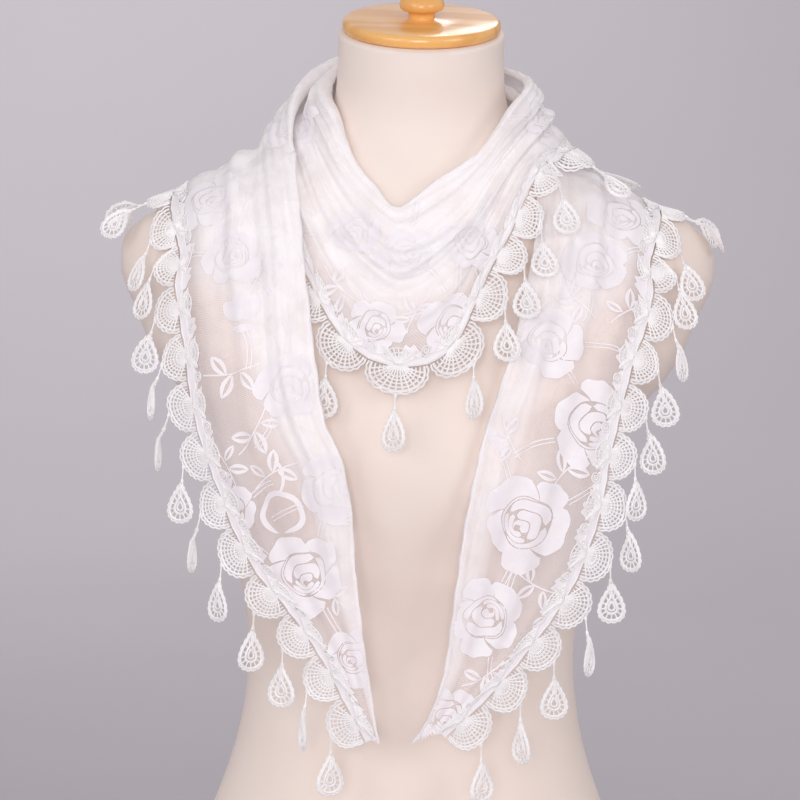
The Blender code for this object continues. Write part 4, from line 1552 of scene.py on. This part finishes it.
def make_scallops():
    basket = Basket()
    count = len(section_places)
    basket.patch(np.array([on_trim(section_places, np.full(count, reach), 0.15)[0] for reach in RIBBON]))
    t = np.linspace(0.06, 0.94, SCALLOP_POINTS)
    bow = np.abs(np.sin(math.pi * t)) ** 0.5 * (0.88 + 0.12 * np.cos(6 * math.pi * t))
    share = np.linspace(0, 1, SCALLOP_ROWS)[:, None]
    bounds = even_places(0, LAST_PLACE, int(edge_length / SCALLOP_PITCH))
    for index, (start, end) in enumerate(zip(bounds, bounds[1:])):
        deep = SCALLOP_DEPTH + 2.5 * math.sin(2.1 * index) + 1.6 * math.sin(5.7 * index)
        reach = SCALLOP_FOOT - (SCALLOP_FOOT + deep * bow) * share
        places = np.broadcast_to(start + (end - start) * t, reach.shape)
        points, _ = on_trim(places.reshape(-1), reach.reshape(-1), 0.3)
        basket.patch(points.reshape(SCALLOP_ROWS, SCALLOP_POINTS, 3))
    return basket.piece("edge_scallops", clothwork)


scallops = make_scallops()

# %% [markdown]
# The neck edge doesn't show as a cut line: the net is rolled under there, and the roll fills the
# room between the layers. It is a half round from the edge down to whatever lies below: the
# form, or the first layer under the second one. Where the ends hang free it stays slim.

# %% The rolled neck edge
ROLL_STEPS = 8
SLIM_ROLL = 4.5         # depth where the ends hang free
NECK_ROLL = 15.0        # greatest depth round the neck
NECK_PLACES = (14.5, 38.5)  # where in the winding the cloth is round the neck
ROLL_FADE = 2.5         # places from the one depth to the other
ROLL_CLEAR = 1.2        # room between the roll and what lies below
ROLL_SWELL = 0.42       # width of the roll as a share of its depth, and how much it varies
SWELL_GRAIN = 0.10
SWELL_FINENESS = 45
ROLL_UV_STEP = 0.002    # net across the roll from one step to the next, in metres
ROLL_GATHER = 0.9       # the rolled net isn't sheer


def roll_depth(place, edge, out, below):
    """How deep the roll is at one section, in mm."""
    inside = min(place - NECK_PLACES[0], NECK_PLACES[1] - place)
    neck = min(max(inside / ROLL_FADE, 0.0), 1.0)
    most = SLIM_ROLL + (NECK_ROLL - SLIM_ROLL) * neck
    if place > MIDDLE:
        room = smooth_between(winding, place)[7] - ROLL_CLEAR
    else:
        room = (edge - below.find_nearest(edge)[0]).dot(out) / MM - ROLL_CLEAR
    return max(min(room, most), 0.5)


def make_roll():
    below = BVHTree.FromPolygons(
        [vertex.co.copy() for vertex in form.data.vertices],
        [tuple(face.vertices) for face in form.data.polygons])
    points = []
    for index, place in enumerate(section_places):
        edge = Vector(grid[index, 0])
        out = Vector(grid_outs[index, 0])
        inward = Vector(grid[index, 3] - grid[index, 0])
        inward = (inward - out * inward.dot(out)).normalized()
        depth = roll_depth(place, edge, out, below)
        swell = depth * (ROLL_SWELL + SWELL_GRAIN * noise.noise(edge * SWELL_FINENESS)) + 0.6
        for step in range(ROLL_STEPS + 1):
            turn = math.pi * step / ROLL_STEPS
            down = depth * (1 - math.cos(turn)) / 2
            wave = 0.5 * math.sin(place * 9 + 3 * turn) * math.sin(turn)
            away = swell * math.sin(turn) + wave - 2.0 * (1 - math.cos(turn)) / 2
            points.append(edge - out * down * MM - inward * away * MM)
    columns = ROLL_STEPS + 1
    faces = loft_faces(len(section_places), columns, closed=False)
    roll = make_piece("neck_edge_roll", points, faces, net, NEVER_SHARP)
    flat = [(i // columns * CLOTH_STEP * MM, i % columns * ROLL_UV_STEP) for i in range(len(points))]
    mark_net(roll, np.array(flat), np.full(len(points), ROLL_GATHER))
    return roll


roll = make_roll()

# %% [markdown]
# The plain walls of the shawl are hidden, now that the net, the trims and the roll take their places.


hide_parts(*[wall for _, wall, *_ in STRETCHES])

# %% [markdown]
# The photograph was taken in front of a plain grey paper, in soft and even light. A curved sheet
# of pale floor and wall stands in for the paper. Large soft lamps stand in front and at both
# sides, a weak one behind lights the shoulders' edges, and one is turned to the paper.

# %% Studio
SWEEP_FRONT = -6.0
SWEEP_BACK = 2.2
SWEEP_BEND = 1.9
SWEEP_HEIGHT = 4.0
SWEEP_HALF_WIDTH = 6.0
SWEEP_STEPS = 24
PAPER_GREYS = (0.455, 0.425, 0.455), (0.49, 0.46, 0.49)
WHITE = (1.0, 1.0, 1.0)
COOL_WHITE = (1.0, 0.985, 0.99)
MIDDLE_OF_FORM = (0, 0, 0.42)
# name, place, target, diameter in metres, watts, colour
LAMPS = (
    ("left_lamp", (-1.6, -2.0, 1.1), MIDDLE_OF_FORM, 1.3, 11, COOL_WHITE),
    ("right_lamp", (1.7, -1.7, 1.0), MIDDLE_OF_FORM, 1.2, 10.5, COOL_WHITE),
    ("front_lamp", (-0.2, -3.15, 0.7), (0, 0, 0.3), 1.2, 27, WHITE),
    ("back_lamp", (0.3, 1.1, 1.7), (0, 0.02, 0.62), 0.6, 3, WHITE),
    ("paper_lamp", (-0.9, 1.9, 2.9), (0.0, 4.1, 1.5), 1.4, 51, WHITE),
)
AIR_COLOUR = (0.93, 0.91, 0.94, 1)
AIR_STRENGTH = 0.62


def make_sweep():
    paint = Paint("studio_paper", 0.9)
    paint.give("Base Color", paint.mix(paint.cloud(paint.place(), 1.5), *PAPER_GREYS))
    line = [(SWEEP_FRONT, 0.0), (SWEEP_BACK, 0.0)]
    for step in range(1, SWEEP_STEPS + 1):
        angle = math.pi / 2 * step / SWEEP_STEPS
        line.append((SWEEP_BACK + SWEEP_BEND * math.sin(angle), SWEEP_BEND * (1 - math.cos(angle))))
    line.append((SWEEP_BACK + SWEEP_BEND, SWEEP_HEIGHT))
    points = [(x, y, z) for y, z in line for x in (-SWEEP_HALF_WIDTH, SWEEP_HALF_WIDTH)]
    faces = loft_faces(len(line), 2, closed=False)
    sweep = put("studio_sweep", make_mesh("studio_sweep", points, faces, paint.material))


make_sweep()
for name, place, target, size, power, colour in LAMPS:
    light = bpy.data.lights.new(name, "AREA")
    light.shape = "DISK"
    light.size = size
    light.energy = power
    light.color = colour
    lamp = put(name, light)
    lamp.location = place
    lamp.visible_camera = False
    lamp.rotation_euler = (Vector(target) - Vector(place)).to_track_quat("-Z", "Y").to_euler()
world = bpy.data.worlds.new("studio_air")
bpy.context.scene.world = world
world.use_nodes = True
air = world.node_tree.nodes["Background"].inputs
air["Color"].default_value = AIR_COLOUR
air["Strength"].default_value = AIR_STRENGTH
bpy.context.scene.view_settings.view_transform = "Standard"

# %% [markdown]
# The camera looks almost level at the middle of the form, from a little under two metres, with a
# long lens. It is turned by under one degree, as the photograph is.

# %% Camera
AIM = Vector((-0.0106, -0.09, 0.418))
DISTANCE = 1.75
ELEVATION = 3.0
ROLL = 0.94
LENS = 119.3
SENSOR_WIDTH = 36
NET_LAYERS = 24         # sheer layers that a ray may cross


def add_camera():
    data = bpy.data.cameras.new("front_camera")
    data.lens = LENS
    data.sensor_width = SENSOR_WIDTH
    camera = put("front_camera", data)
    angle = math.radians(ELEVATION)
    way = Vector((0, -math.cos(angle), math.sin(angle)))
    camera.location = AIM + way * DISTANCE
    look = (-way).to_track_quat("-Z", "Y").to_matrix()
    turn = Matrix.Rotation(math.radians(ROLL), 3, "Z")
    camera.rotation_euler = (look @ turn).to_euler()
    bpy.context.scene.camera = camera
    return camera


camera = add_camera()
bpy.context.scene.cycles.transparent_max_bounces = NET_LAYERS
print("camera at", [round(value, 3) for value in camera.location])
